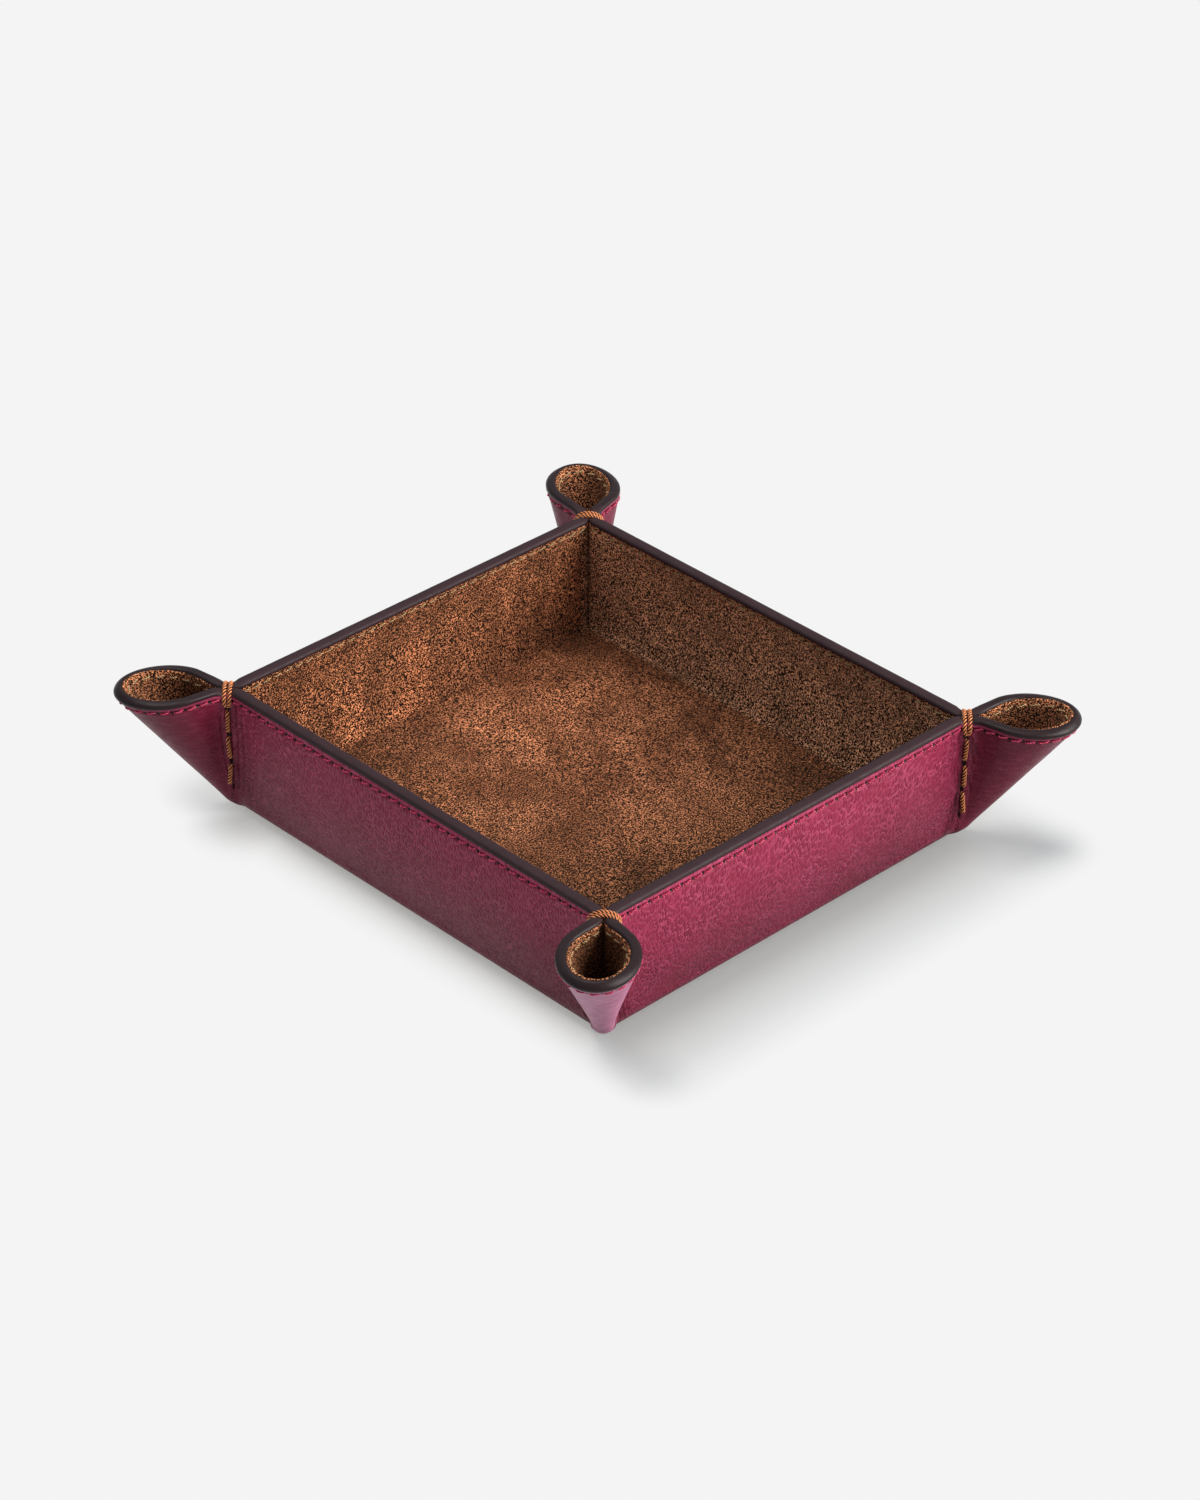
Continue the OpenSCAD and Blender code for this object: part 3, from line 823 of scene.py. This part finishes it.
def leather_material():
    """Raspberry leather: long pebbles with painted highlights along their edges, fine dark pits, soft changes
    of tone, and painted shade in the holes, creases and grooves.

    Painted shade darkens the walls towards their foot and the ears towards their top, painted light brightens
    the walls' tops, a painted highlight runs under the rim and the front ear's face is painted pale as a
    painted reflection.
    """
    n = new_material("raspberry_leather")
    # light is the colour of the painted highlights on the pebbles' edges and under the rim, and of the ears'
    # crosswise lines
    light = (0.47, 0.074, 0.158, 1)
    deep = (0.058, 0.002, 0.009, 1)
    tones = ((0.162, 0.007, 0.0285, 1), (0.204, 0.0108, 0.041, 1))
    pale = (0.6, 0.21, 0.36, 1)
    # dark is the colour of the painted shade
    dark = (0.035, 0.0018, 0.006, 1)
    hole_shade = (0.006, 0.001, 0.002, 1)

    here = n.place()
    warp = n.vector("SUBTRACT", n.noise(here, 1.7, output=1), MIDDLE_GREY)
    grain = n.stretched(n.vector("ADD", here, n.scaled(warp, 0.4)), HIDE_RUN, 0.24)
    pebble = n.cells(grain, 1)
    pit = n.cells(grain, 1 / 1.55)
    pores = n.noise(here, 0.5, 2, 0.6)
    broad = n.noise(here, 9)
    fine = n.noise(here, 2.4, 3, 0.6)
    wrinkle = n.noise(n.stretched(here, Z_AXIS, 0.2), 1, distortion=0.4)
    crosswise = n.noise(n.stretched(n.stretched(here, X_AXIS, 0.2), Y_AXIS, 0.2), 0.75, 3, 0.6)
    ear = n.value("ear")
    seam = n.times(n.value("seam"), n.smooth(ear, 0, 1, 1, 0.35))
    uneven = n.smooth(broad, 0.3, 0.7, 0.45, 1)

    height = n.blend(0.3, n.smooth(pebble, 0, 0.3), n.smooth(pit, 0, 0.34))
    height = n.blend(0.14, height, pores)
    height = n.blend(n.times(seam, 0.6), height, n.smooth(wrinkle, 0.3, 0.7))
    strength = n.times(n.smooth(ear, 0, 1, 1, 0.3), uneven)

    base = n.mix(n.smooth(n.noise(here, 24, 3, 0.55), 0.3, 0.7), *tones)
    # Painted highlight: light lines along the pebbles' edges, where the grain would catch the light
    ridge = n.times(n.smooth(pebble, 0, 0.17, 1, 0), uneven)
    base = n.mix(n.times(ridge, n.smooth(ear, 0, 1, 0.5, 0.08)), base, light)
    pits = n.times(n.smooth(pit, 0.02, 0.16, 1, 0), n.smooth(fine, 0.35, 0.6))
    base = n.mix(n.times(pits, n.smooth(ear, 0, 1, 0.26, 0.12)), base, deep)
    # Painted shade in the wrinkles near the sewn corners
    wrinkle_shade = n.smooth(wrinkle, 0.32, 0.48, 1, 0)
    base = n.mix(n.times(wrinkle_shade, n.times(seam, 0.6)), base, deep)
    drawn = n.times(n.smooth(crosswise, 0.48, 0.62), n.times(ear, 0.2))
    base = n.mix(drawn, base, light)
    # Painted highlight under the rim and along the ears' top edge
    base = n.mix(n.times(n.value("painted_highlight"), 0.5), base, light)
    # Painted shade and light by height: walls darker at the foot and lighter at the top, ears darker towards
    # the top
    up = n.part(here, 2)
    painted_light_and_shade_by_height = n.blend(ear, n.smooth(up, 0, 38, 0.76, 1.3), n.smooth(up, 12, 36, 0.78, 0.68))
    base = n.scaled(base, painted_light_and_shade_by_height)
    # Painted reflection on the front ear's face, in pale pink
    base = n.mix(n.times(n.value("painted_reflection"), n.smooth(crosswise, 0.3, 0.7, 0.55, 0.9)), base, pale)
    # Painted shade in the creases, the stitch groove, beside the waxed thread and by the front ear's foot
    base = n.mix(n.times(n.value("dark"), 0.85), base, dark)
    # Painted shade in the needle and punched holes
    base = n.mix(n.smooth(n.value("hole_distance"), 0.42, 0.74), hole_shade, base)
    rough = n.smooth(fine, 0.3, 0.75, 0.36, 0.48)
    bump = n.bump(height, strength, 0.45)
    return n.surface(Base_Color=base, Roughness=rough, Specular_IOR_Level=0.23, Normal=bump)


# Where the far left wall and the far right one begin, and the place of the floor that painted light brightens
# most
LEFT_WALL_Y = (73, 75)
RIGHT_WALL_X = (66, 69)
PAINTED_LIGHT_SPOT = (20, 42, 0)


def suede_material():
    """Brown suede: a short nap in light and dark specks, brushed into broad patches, with painted shade in
    the needle holes.

    The far left wall has upright streaks and the far right one has flecks of painted sheen. Painted light
    brightens one place of the floor, painted shade darkens the ears and the floor away from that place, and
    the nap is paler just under the rim.
    """
    n = new_material("brown_suede")
    dark = (0.007, 0.0022, 0.001, 1)
    middle = (0.075, 0.0195, 0.0071, 1)
    light = (0.62, 0.224, 0.099, 1)
    hole_shade = (0.012, 0.004, 0.0015, 1)
    sheen = (0.8, 0.42, 0.24, 1)
    patch_shades = ((0.6, 0.56, 0.53, 1), (1.4, 1.46, 1.5, 1))
    fleck_sheen_shades = ((0.92, 1.22, 1.45, 1), (2.1, 2.9, 3.7, 1))
    left_shade = (1.06, 1.07, 1.07, 1)
    ear_painted_shade = (0.55, 0.55, 0.55, 1)
    rim_shade = (1.75, 1.85, 1.9, 1)

    here = n.vector("ADD", n.place(), (0.13, 0.17, 0.11))
    x, y, up = (n.part(here, axis) for axis in range(3))
    ear = n.value("ear")
    speck = n.blend(n.smooth(up, 1.5, 4.5), n.noise(here, 0.5, 2, 0.6), n.noise(here, 0.45, 2, 0.6))
    tuft = n.noise(here, 0.95, 3, 0.7, 0.4)
    patch = n.noise(n.stretched(here, NAP_RUN, 0.35), 12, 4, 0.62, 0.3)
    broad = n.noise(here, 48, 2, 0.5, 0.2)
    streaks = n.noise(n.stretched(here, STREAK_RUN, 0.3), 8, 3, 0.6)
    level = n.smooth(n.blend(0.15, speck, tuft), 0.45, 0.562)
    nap = n.mix(n.smooth(level, 0, 0.5), dark, middle)
    nap = n.mix(n.smooth(level, 0.5, 1), nap, light)

    shade = n.mix(n.smooth(n.blend(0.4, patch, broad), 0.37, 0.63), *patch_shades)
    # Painted light brightest at one place of the floor and by the back corner, painted shade towards the
    # floor's edges and by the far left wall's foot
    from_painted_light_spot = n.measure("DISTANCE", n.stretched(here, Z_AXIS, 0), PAINTED_LIGHT_SPOT)
    light_and_shade_by_wall = n.blend(n.smooth(x, -10, 40), n.smooth(y, 46, 72, 1, 0.7), n.smooth(y, 30, 60, 1, 1.25))
    floor_painted_light_and_shade = n.times(n.smooth(from_painted_light_spot, 10, 110, 1.2, 0.52), light_and_shade_by_wall)
    # The far left wall is brighter at mid-height than by the floor and the rim, with upright streaks
    wall_tone = n.times(n.smooth(up, 2, 9, 0.95, 1.16), n.smooth(up, 14, 34, 1, 0.8))
    wall_tone = n.times(wall_tone, n.smooth(streaks, 0.38, 0.66, 0.7, 1.24))
    left_wall = n.smooth(y, *LEFT_WALL_Y)
    shade = n.mix(n.times(left_wall, 0.5), shade, left_shade)
    shade = n.scaled(shade, n.blend(left_wall, floor_painted_light_and_shade, wall_tone))
    # Painted sheen: the far right wall's nap flecked pale and greyed, as if catching grazing light
    right_wall = n.times(n.smooth(x, *RIGHT_WALL_X), n.smooth(ear, 0, 0.5, 1, 0))
    uneven = n.times(n.smooth(patch, 0.35, 0.65, 0.78, 1.16), n.smooth(up, 2, 16, 0.78, 1.02))
    fleck_sheen = n.scaled(n.mix(n.smooth(level, 0.55, 1), *fleck_sheen_shades), uneven)
    shade = n.mix(right_wall, shade, fleck_sheen)
    # Painted shade inside the ears
    shade = n.mix(n.times(ear, 0.75), shade, ear_painted_shade)
    lifted = n.smooth(n.value("rim_distance"), 0.4, 3.6, 1, 0)
    shade = n.mix(n.times(lifted, 0.6), shade, rim_shade)

    base = n.mix(1, nap, shade, way="MULTIPLY")
    # Painted shade in the needle holes
    base = n.mix(n.smooth(n.value("hole_distance"), 0.25, 0.55), hole_shade, base)
    return n.surface(
        Base_Color=base,
        Roughness=0.96,
        Specular_IOR_Level=0.12,
        Sheen_Weight=0.2,
        Sheen_Roughness=0.5,
        Sheen_Tint=sheen,
        Normal=n.bump(level, 1, 0.6),
    )


def paint_material():
    """Dark brown edge paint: a satin skin, uneven in tone and shine, with tiny pits and darker ears."""
    n = new_material("dark_edge_paint")
    tones = ((0.023, 0.01, 0.0125, 1), (0.038, 0.0165, 0.0202, 1))
    ear_tone = (0.009, 0.0042, 0.0046, 1)
    here = n.place()
    ear = n.value("ear")
    grit = n.noise(here, 0.5, 3, 0.6)
    run = n.noise(here, 2.2)
    base = n.mix(n.noise(here, 7, 3, 0.6), *tones)
    base = n.mix(n.times(ear, 0.62), base, ear_tone)
    rough = n.math("SUBTRACT", n.smooth(run, 0.3, 0.7, 0.5, 0.62), n.times(ear, 0.16))
    bump = n.bump(n.blend(0.3, run, grit), 0.3, 0.14)
    return n.surface(Base_Color=base, Roughness=rough, Specular_IOR_Level=0.22, Normal=bump)


def thread_material(name, dark, light, roughness, size, groove):
    """Spun thread: painted light on top of each ply and painted shade in the grooves, with fibres that vary
    in tone.
    """
    n = new_material(name)
    fibre = n.noise(n.place(), size, 3, 0.6, 0.5)
    # Painted light and shade by how far out on its ply each vertex lies
    lit = n.times(n.smooth(n.value("rise"), groove, 1), n.smooth(fibre, 0.25, 0.6, 0.55, 1))
    rough = n.smooth(fibre, 0.3, 0.7, roughness - 0.07, roughness + 0.1)
    bump = n.bump(fibre, 0.4, 0.08)
    return n.surface(Base_Color=n.mix(lit, dark, light), Roughness=rough, Specular_IOR_Level=0.3, Normal=bump)


def board_material():
    """The hidden interlining: plain bonded fibre."""
    n = new_material("bonded_fibre")
    tones = ((0.42, 0.34, 0.23, 1), (0.62, 0.53, 0.38, 1))
    fibre = n.noise(n.stretched(n.place(), Y_AXIS, 0.4), 0.8, 3, 0.6)
    base = n.mix(n.smooth(fibre, 0.3, 0.7), *tones)
    return n.surface(Base_Color=base, Roughness=0.9, Normal=n.bump(fibre, 0.3, 0.1))


def make_leather():
    near = face_rings(outside, SUEDE_T + INTERLINING_T, BENDS)
    far = face_rings(outside, SHEET_T, BENDS, leather_relief, 1, LEATHER_DROPS, LEATHER_SHARES)
    floor = (FLOOR_SPACING, still)
    return make_sheet("leather_shell", leather_material(), outside, near, far, far_floor=floor)


def make_interlining():
    near = face_rings(outside, SUEDE_T, HIDDEN_BENDS)
    far = face_rings(outside, SUEDE_T + INTERLINING_T, HIDDEN_BENDS)
    return make_sheet("stiffening_sheet", board_material(), outside, near, far)


def make_suede():
    near = face_rings(inside, 0, BENDS, suede_relief, -1, SUEDE_DROPS, SUEDE_SHARES)
    near += rolled_edge(inside, 0)
    far = face_rings(inside, SUEDE_T, BENDS)
    floor = (FLOOR_SPACING, suede_floor)
    return make_sheet("suede_sheet", suede_material(), inside, near, far, near_floor=floor)


# The painted edge: its lap over the faces and down them, how square its dome is, the dome's points, and how
# far the paint stops short of the suede on the ears
BEAD_LAP = 0.14
BEAD_LIP = 0.4
BEAD_POWER = 0.8
BEAD_POINTS = 15
BEAD_SHY = 0.62


def bead_profile():
    """The bead's section: depth through the sheets and height over the rim."""
    middle = SHEET_T / 2
    profile = []
    for a in np.radians(np.linspace(0, 180, BEAD_POINTS)):
        across = math.copysign(abs(math.cos(a)) ** BEAD_POWER, math.cos(a))
        profile.append((middle + (middle + BEAD_LAP) * across, BEAD_H * math.sin(a) ** BEAD_POWER))
    profile += [(-BEAD_LAP * 0.9, -BEAD_LIP * 0.7), (0.1, -BEAD_LIP)]
    profile += [(SHEET_T - 0.1, -BEAD_LIP), (SHEET_T + BEAD_LAP * 0.9, -BEAD_LIP * 0.7)]
    return profile


def make_bead():
    """The painted edge: a satin dome over the three cut edges, squeezed where the corner threads cross it."""
    shape = Shape()
    middle = SHEET_T / 2
    squeeze = bell(outside.from_seam, 1.5)
    starts = []
    for depth, height in bead_profile():
        d = middle + (depth - middle) * (1 - 0.1 * squeeze) - 0.12 * squeeze
        d = d + BEAD_SHY * outside.ear * np.clip(1 - depth / middle, 0, 1)
        pressed = 0.1 + 0.9 * np.clip(depth / SHEET_T, 0, 1) ** 3
        h = height * (1 - 0.62 * squeeze) - pressed * squeeze * (height > 0)
        points = outside.rim_at(0) + d[:, None] * outside.out_rim + h[:, None] * outside.up
        if height > 0:
            points = points + swell(points, BEAD_WAVES)[:, None] * outside.up
        starts.append(shape.add(points, ear=outside.ear))
    for start, following in zip(starts, starts[1:] + starts[:1]):
        shape.band(start, following, outside.count)
    return shape.finish("painted_edge", paint_material())


def curve_through(points, spacing):
    """Points at about that spacing on a smooth curve through these."""
    p = np.asarray(points, float)
    p = np.vstack([2 * p[0] - p[1], p, 2 * p[-1] - p[-2]])
    out = []
    for a, b, c, d in zip(p, p[1:], p[2:], p[3:]):
        square = 2 * a - 5 * b + 4 * c - d
        cube = 3 * b - a - 3 * c + d
        parts = max(2, round(np.linalg.norm(c - b) / spacing))
        out += [0.5 * (2 * b + (c - a) * s + square * s * s + cube * s**3) for s in np.arange(parts) / parts]
    out.append(p[-2])
    return np.array(out)


# A ply's radius as a share of its cord's
PLY_SHARE = 0.54


def add_cord(shape, line, start_angle, radius, plies, pitch, sides, out=(0, 0, 1)):
    """A twisted cord along a line: each ply is a tube that winds round it, from an angle off the way out."""
    ahead = unit(np.gradient(line, axis=0))
    side = np.zeros_like(line)
    first = np.asarray(out, float)
    for n in range(len(line)):
        first = unit(first - ahead[n] * (first @ ahead[n]))
        side[n] = first
    other = np.cross(ahead, side)
    way = way_along(line)
    ply_r = radius * PLY_SHARE
    orbit = radius - ply_r
    for ply in range(plies):
        turn = start_angle + 2 * math.pi * (way / pitch + ply / plies)
        centre = line + orbit * (np.cos(turn)[:, None] * side + np.sin(turn)[:, None] * other)
        starts = []
        for n in range(len(line)):
            a = turn[n] + np.arange(sides) * 2 * math.pi / sides
            ring = centre[n] + ply_r * (np.outer(np.cos(a), side[n]) + np.outer(np.sin(a), other[n]))
            starts.append(shape.add(ring, rise=np.linalg.norm(ring - line[n], axis=1) / radius))
        for low, high in zip(starts, starts[1:]):
            shape.band(low, high, sides)
        shape.faces.append(tuple(starts[0] + np.arange(sides)[::-1]))
        shape.faces.append(tuple(starts[-1] + np.arange(sides)))


def stitch_places(cols, sign):
    """Functions of the way round the tray: the point on the face at the stitch line, its outward and down."""
    rim, foot = cols.rim_at(cols.depth), cols.foot_at(cols.depth)
    down = unit(foot - rim)
    share = 1 - STITCH_INSET / np.linalg.norm(rim - foot, axis=1)
    point = rim + STITCH_INSET * down + cols.bow(share)[:, None] * cols.out_rim
    order = np.argsort(cols.along)
    ways = np.concatenate([cols.along[order] + lap for lap in cols.laps])

    def table(values):
        laps = np.tile(values[order], (3, 1))
        return lambda s: np.array([np.interp(s, ways, laps[:, axis]) for axis in range(3)])

    return table(point), table(sign * cols.out_rim), table(down)


# A machine stitch from one hole to the next: share of the way, height off the face and slant
STITCH_ROUTE = (
    (0.17, -0.5, 1.0),
    (0.2, -0.1, 1.0),
    (0.28, 0.24, 0.75),
    (0.5, 0.34, 0.0),
    (0.72, 0.24, -0.75),
    (0.8, -0.1, -1.0),
    (0.83, -0.5, -1.0),
)
STITCH_SLANT = 0.32
STITCH_SPACING = 0.42
STITCH_CORD = {"radius": THREAD_D * 0.7, "plies": 2, "pitch": 1.5, "sides": 6}


def make_rim_stitches(name, cols, sign, sunk, material):
    """Machine stitches: each leaves its hole on the low side and enters the next one on the high side."""
    shape = Shape()
    point, outward, down = stitch_places(cols, sign)
    for run in cols.holes:
        for n, (start, end) in enumerate(zip(run, run[1:])):
            wobble = 0.05 * math.sin(7.1 * n + start)
            line = []
            for share, height, across in STITCH_ROUTE:
                s = start + (end - start) * share
                lift = height - sunk + wobble * (height > 0)
                line.append(point(s) + lift * outward(s) + STITCH_SLANT * sign * across * down(s))
            line = curve_through(line, STITCH_SPACING)
            add_cord(shape, line, 0.9 * n, out=outward((start + end) / 2), **STITCH_CORD)
    return shape.finish(name, material)


def at_seam(corner, points):
    """Points along the diagonal from the sewn line, across it and up, in the tray's frame."""
    signs = SIGNS[corner]
    p = np.asarray(points, float)
    x, y = from_diagonal(signs, p[:, 0] + SEAM_U, p[:, 1])
    return np.column_stack([x + signs[0] * INNER_X / 2, y + signs[1] * INNER_Y / 2, p[:, 2]])


# The waxed cord, the face that it lies on beside the pinch, and the top and shoulder of its wraps
CORD_R = CORD_D / 2 * 1.12
CORD_SPACING = 0.28
WAXED_CORD = {"radius": CORD_R, "plies": 3, "pitch": 3.1, "sides": 8}
CORD_FACE = FACE_V + CORD_R * 0.45
WRAP_TOP = RIM_Z + BEAD_H * 0.38 + CORD_R * 0.9
WRAP_SHOULDER = RIM_Z - 1.3
# Out of the first hole and up: share of the wrap's lane, place off the face and height over the hole
WRAP_ROUTE = ((0.15, -1.5, 0.7), (0.4, -0.3, 0.95), (0.85, 0.08, 1.9))
# Out of a hole on the way to the next: share of the stitch's drift, place off the face and way from the hole
CORD_ROUTE = ((0.6, -1.5, 1.15), (1, -0.4, 1.5), (1, 0.12, 2.2))


def add_waxed_cord(shape, corner, points, start_angle):
    line = curve_through(at_seam(corner, points), CORD_SPACING)
    add_cord(shape, line, start_angle, **WAXED_CORD)


def make_corner_thread(corner, material):
    """Two wraps over the rim that meet in the first hole, then long stitches down both faces."""
    shape = Shape()
    for lane in (-1, 1):
        u = lane * (CORD_R + 0.12)
        up = [(u * share, CORD_FACE + off, FIRST_HOLE_Z + above) for share, off, above in WRAP_ROUTE]
        up.append((u, CORD_FACE + 0.02, WRAP_SHOULDER))
        for a in np.radians((22, 45, 68, 90)):
            height = WRAP_SHOULDER + (WRAP_TOP - WRAP_SHOULDER) * math.sin(a)
            up.append((u, (CORD_FACE - 0.25) * math.cos(a), height))
        down = [(a, -b, c) for a, b, c in up[-2::-1]]
        add_waxed_cord(shape, corner, up + down, lane + corner)
    for n, (high, low) in enumerate(zip(HOLE_HEIGHTS, HOLE_HEIGHTS[1:])):
        for side in (-1, 1):
            drift = 0.2 * math.sin(2.3 * n + corner * 1.7 + side)
            points = [(drift * share, side * (CORD_FACE + off), high - way) for share, off, way in CORD_ROUTE]
            points.append((0, side * (CORD_FACE + 0.2), (high + low) / 2))
            for share, off, way in CORD_ROUTE[::-1]:
                points.append((-drift * share, side * (CORD_FACE + off), low + way))
            add_waxed_cord(shape, corner, points, n + side)
    return shape.finish("waxed_thread_" + CORNER_NAMES[corner], material)


# Dark and light of each thread: painted shade in the plies' grooves and painted light on their tops
RASPBERRY_THREAD = ((0.2, 0.003, 0.016, 1), (0.9, 0.085, 0.2, 1))
TAN_THREAD = ((0.14, 0.066, 0.026, 1), (0.72, 0.48, 0.25, 1))
WAXED_THREAD = ((0.026, 0.005, 0.0018, 1), (0.95, 0.33, 0.12, 1))


def dress():
    """Makes every piece, hides the model's solid that it stands for and puts it on the tray's one body."""
    leather = make_leather()
    board = make_interlining()
    suede = make_suede()
    bead = make_bead()
    raspberry = thread_material("raspberry_thread", *RASPBERRY_THREAD, 0.26, 0.5, 0.35)
    tan = thread_material("tan_thread", *TAN_THREAD, 0.4, 0.5, 0.4)
    waxed = thread_material("brown_waxed_thread", *WAXED_THREAD, 0.3, 0.6, 0.76)
    needle = make_rim_stitches("needle_stitches", outside, 1, 0.1, raspberry)
    bobbin = make_rim_stitches("bobbin_stitches", inside, -1, 0.2, tan)
    pieces = [
        (leather, "outer_leather", "outer_leather"),
        (board, "interlining", "interlining"),
        (suede, "suede_lining", "suede"),
        (bead, "edge_paint", "edge_paint"),
        (needle, "needle_thread", "needle_thread"),
        (bobbin, "bobbin_thread", "bobbin_thread"),
    ]
    for corner, name in enumerate(CORNER_NAMES):
        pieces.append((make_corner_thread(corner, waxed), "corner_thread_" + name, "corner_thread"))
    for piece, node, slot in pieces:
        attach(piece, "root")
        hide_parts(node)
    leather.visible_diffuse = False
    return [piece for piece, _, _ in pieces]


def towards(azimuth, elevation):
    """The direction from the tray to a camera or light at these angles, turned from the side of -Y."""
    flat = math.cos(elevation)
    return Vector((math.sin(azimuth) * flat, -math.cos(azimuth) * flat, math.sin(elevation)))


# The camera, fitted to the photograph: angles in degrees, lengths in millimetres, focal length in pixels
CAMERA_AZIMUTH = -44.06
CAMERA_ELEVATION = 33.08
CAMERA_ROLL = 0.4
CAMERA_DISTANCE = 1300.0
CAMERA_TARGET = Vector((26.2, 25.2, 0))
FOCAL_PX = 4348.5
PHOTO_HEIGHT_PX = 1500
SENSOR = 36.0


def make_camera():
    data = bpy.data.cameras.new("camera")
    data.sensor_width = SENSOR
    data.lens = FOCAL_PX / PHOTO_HEIGHT_PX * SENSOR
    data.clip_start = 0.05
    data.clip_end = 50
    camera = add_object("camera", data)
    back = towards(math.radians(CAMERA_AZIMUTH), math.radians(CAMERA_ELEVATION))
    right = (-back).cross(Vector(Z_AXIS)).normalized()
    up = right.cross(-back)
    roll = math.radians(CAMERA_ROLL)
    rolled_right = right * math.cos(roll) + up * math.sin(roll)
    rolled_up = up * math.cos(roll) - right * math.sin(roll)
    turn = Matrix((rolled_right, rolled_up, back)).transposed()
    camera.matrix_world = Matrix.Translation((CAMERA_TARGET + back * CAMERA_DISTANCE) * MM) @ turn.to_4x4()
    bpy.context.scene.camera = camera


def area_light(name, azimuth, elevation, distance, size, share, colour):
    """A softbox that gives a face towards it that share of the plain level, where white renders as white."""
    data = bpy.data.lights.new(name, "AREA")
    data.shape = "DISK"
    data.size = size
    data.energy = math.pi**2 * distance**2 * share
    data.color = colour
    light = add_object(name, data)
    back = towards(math.radians(azimuth), math.radians(elevation))
    light.location = back * distance
    light.rotation_mode = "QUATERNION"
    light.rotation_quaternion = (-back).to_track_quat("-Z", "Y")
    return light


def make_lights(pieces):
    """A low key from the right, which is flagged off the floor, and a high softbox over the far wall."""
    key = area_light("key_softbox", 35, 32, 2.4, 2.0, 1.56, (1.0, 0.97, 0.93))
    lit = bpy.data.collections.new("lit_by_key")
    for piece in pieces:
        lit.objects.link(piece)
    key.light_linking.receiver_collection = lit
    area_light("top_softbox", 180, 75, 2.0, 1.1, 0.31, (1.0, 1.0, 0.98))


BACKGROUND = (0.905, 0.905, 0.905, 1)
FILL_COLOUR = (0.955, 1.0, 1.06, 1)
FILL_LEVEL = 0.41
FLOOR_COLOUR = (0.931, 0.93, 0.93, 1)
FLOOR_LIFT = 0.16
# The floor in metres, open under the tray and clear from below, so that the underside can be seen
FLOOR_HALF = (3.0, 3.0)
FLOOR_HOLE_HALF = (0.066, 0.072)
FLOOR_DROP = 0.00012
# Where the floor keeps its shadows: a rectangle round the tray and a strip under the two side ears
FOOTPRINT_MIDDLE = (6.5, -5.5, 0)
FOOTPRINT_HALF = (76.5, 93.5, 0)
EARS_MIDDLE = (-3, -5, 0)
EARS_REACH = 100.8
EARS_HALF = 3.0
MELT_REACH = 20.0


def make_world():
    """A background of one tone for the camera, and a soft cool fill for everything else."""
    n = Nodes(bpy.data.worlds.new("studio"))
    fill = n.add("Background", {"Color": FILL_COLOUR, "Strength": FILL_LEVEL})
    seen = n.add("Background", {"Color": BACKGROUND})
    straight = n.add("LightPath", output="Is Camera Ray")
    bpy.context.scene.world = n.finish(n.add("MixShader", {0: straight, 1: fill, 2: seen}), "World")


def floor_material():
    """A pale floor that keeps the shadows by the tray and, seen straight, melts into the background."""
    n = new_material("pale_floor")
    here = n.place()
    from_middle = n.vector("ABSOLUTE", n.vector("SUBTRACT", here, FOOTPRINT_MIDDLE))
    beyond = n.vector("MAXIMUM", n.vector("SUBTRACT", from_middle, FOOTPRINT_HALF))
    from_ears = n.vector("SUBTRACT", here, EARS_MIDDLE)
    sideways = n.measure("DOT_PRODUCT", from_ears, (-ROOT_HALF, ROOT_HALF, 0))
    depth = n.measure("DOT_PRODUCT", from_ears, (ROOT_HALF, ROOT_HALF, 0))
    past = n.math("MAXIMUM", n.math("SUBTRACT", n.math("ABSOLUTE", sideways), EARS_REACH), 0.0)
    from_strip = n.math("SQRT", n.math("ADD", n.times(past, past), n.times(depth, depth)))
    away_by = n.math("MINIMUM", n.measure("LENGTH", beyond), n.math("SUBTRACT", from_strip, EARS_HALF))
    in_mirror = n.add("LightPath", output="Is Glossy Ray")
    straight = n.math("MAXIMUM", n.add("LightPath", output="Is Camera Ray"), in_mirror)
    diffuse = n.add("BsdfDiffuse", {"Color": FLOOR_COLOUR})
    lift = n.add("Emission", {"Color": (1, 1, 1, 1), "Strength": n.times(straight, FLOOR_LIFT)})
    near = n.add("AddShader", {0: diffuse, 1: lift})
    far = n.add("Emission", {"Color": BACKGROUND})
    shader = n.add("MixShader", {0: n.times(n.smooth(away_by, 0, MELT_REACH), straight), 1: near, 2: far})
    from_below = n.add("NewGeometry", output="Backfacing")
    return n.finish(n.add("MixShader", {0: from_below, 1: shader, 2: n.add("BsdfTransparent")}))


def make_floor():
    mesh = bpy.data.meshes.new("floor")
    halves = (FLOOR_HALF, FLOOR_HOLE_HALF)
    corners = [(x * half_x, y * half_y, -FLOOR_DROP) for half_x, half_y in halves for x, y in SIGNS]
    mesh.from_pydata(corners, [], [(k, (k + 1) % 4, 4 + (k + 1) % 4, 4 + k) for k in range(4)])
    mesh.materials.append(floor_material())
    add_object("floor", mesh)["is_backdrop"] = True


tray = dress()
make_camera()
make_world()
make_floor()
make_lights(tray)
bpy.context.scene.view_settings.view_transform = "Standard"

boxes = {"cad": CAD_BOX, "visual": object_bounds()}
{name: [list(corner) for corner in box] for name, box in boxes.items()}
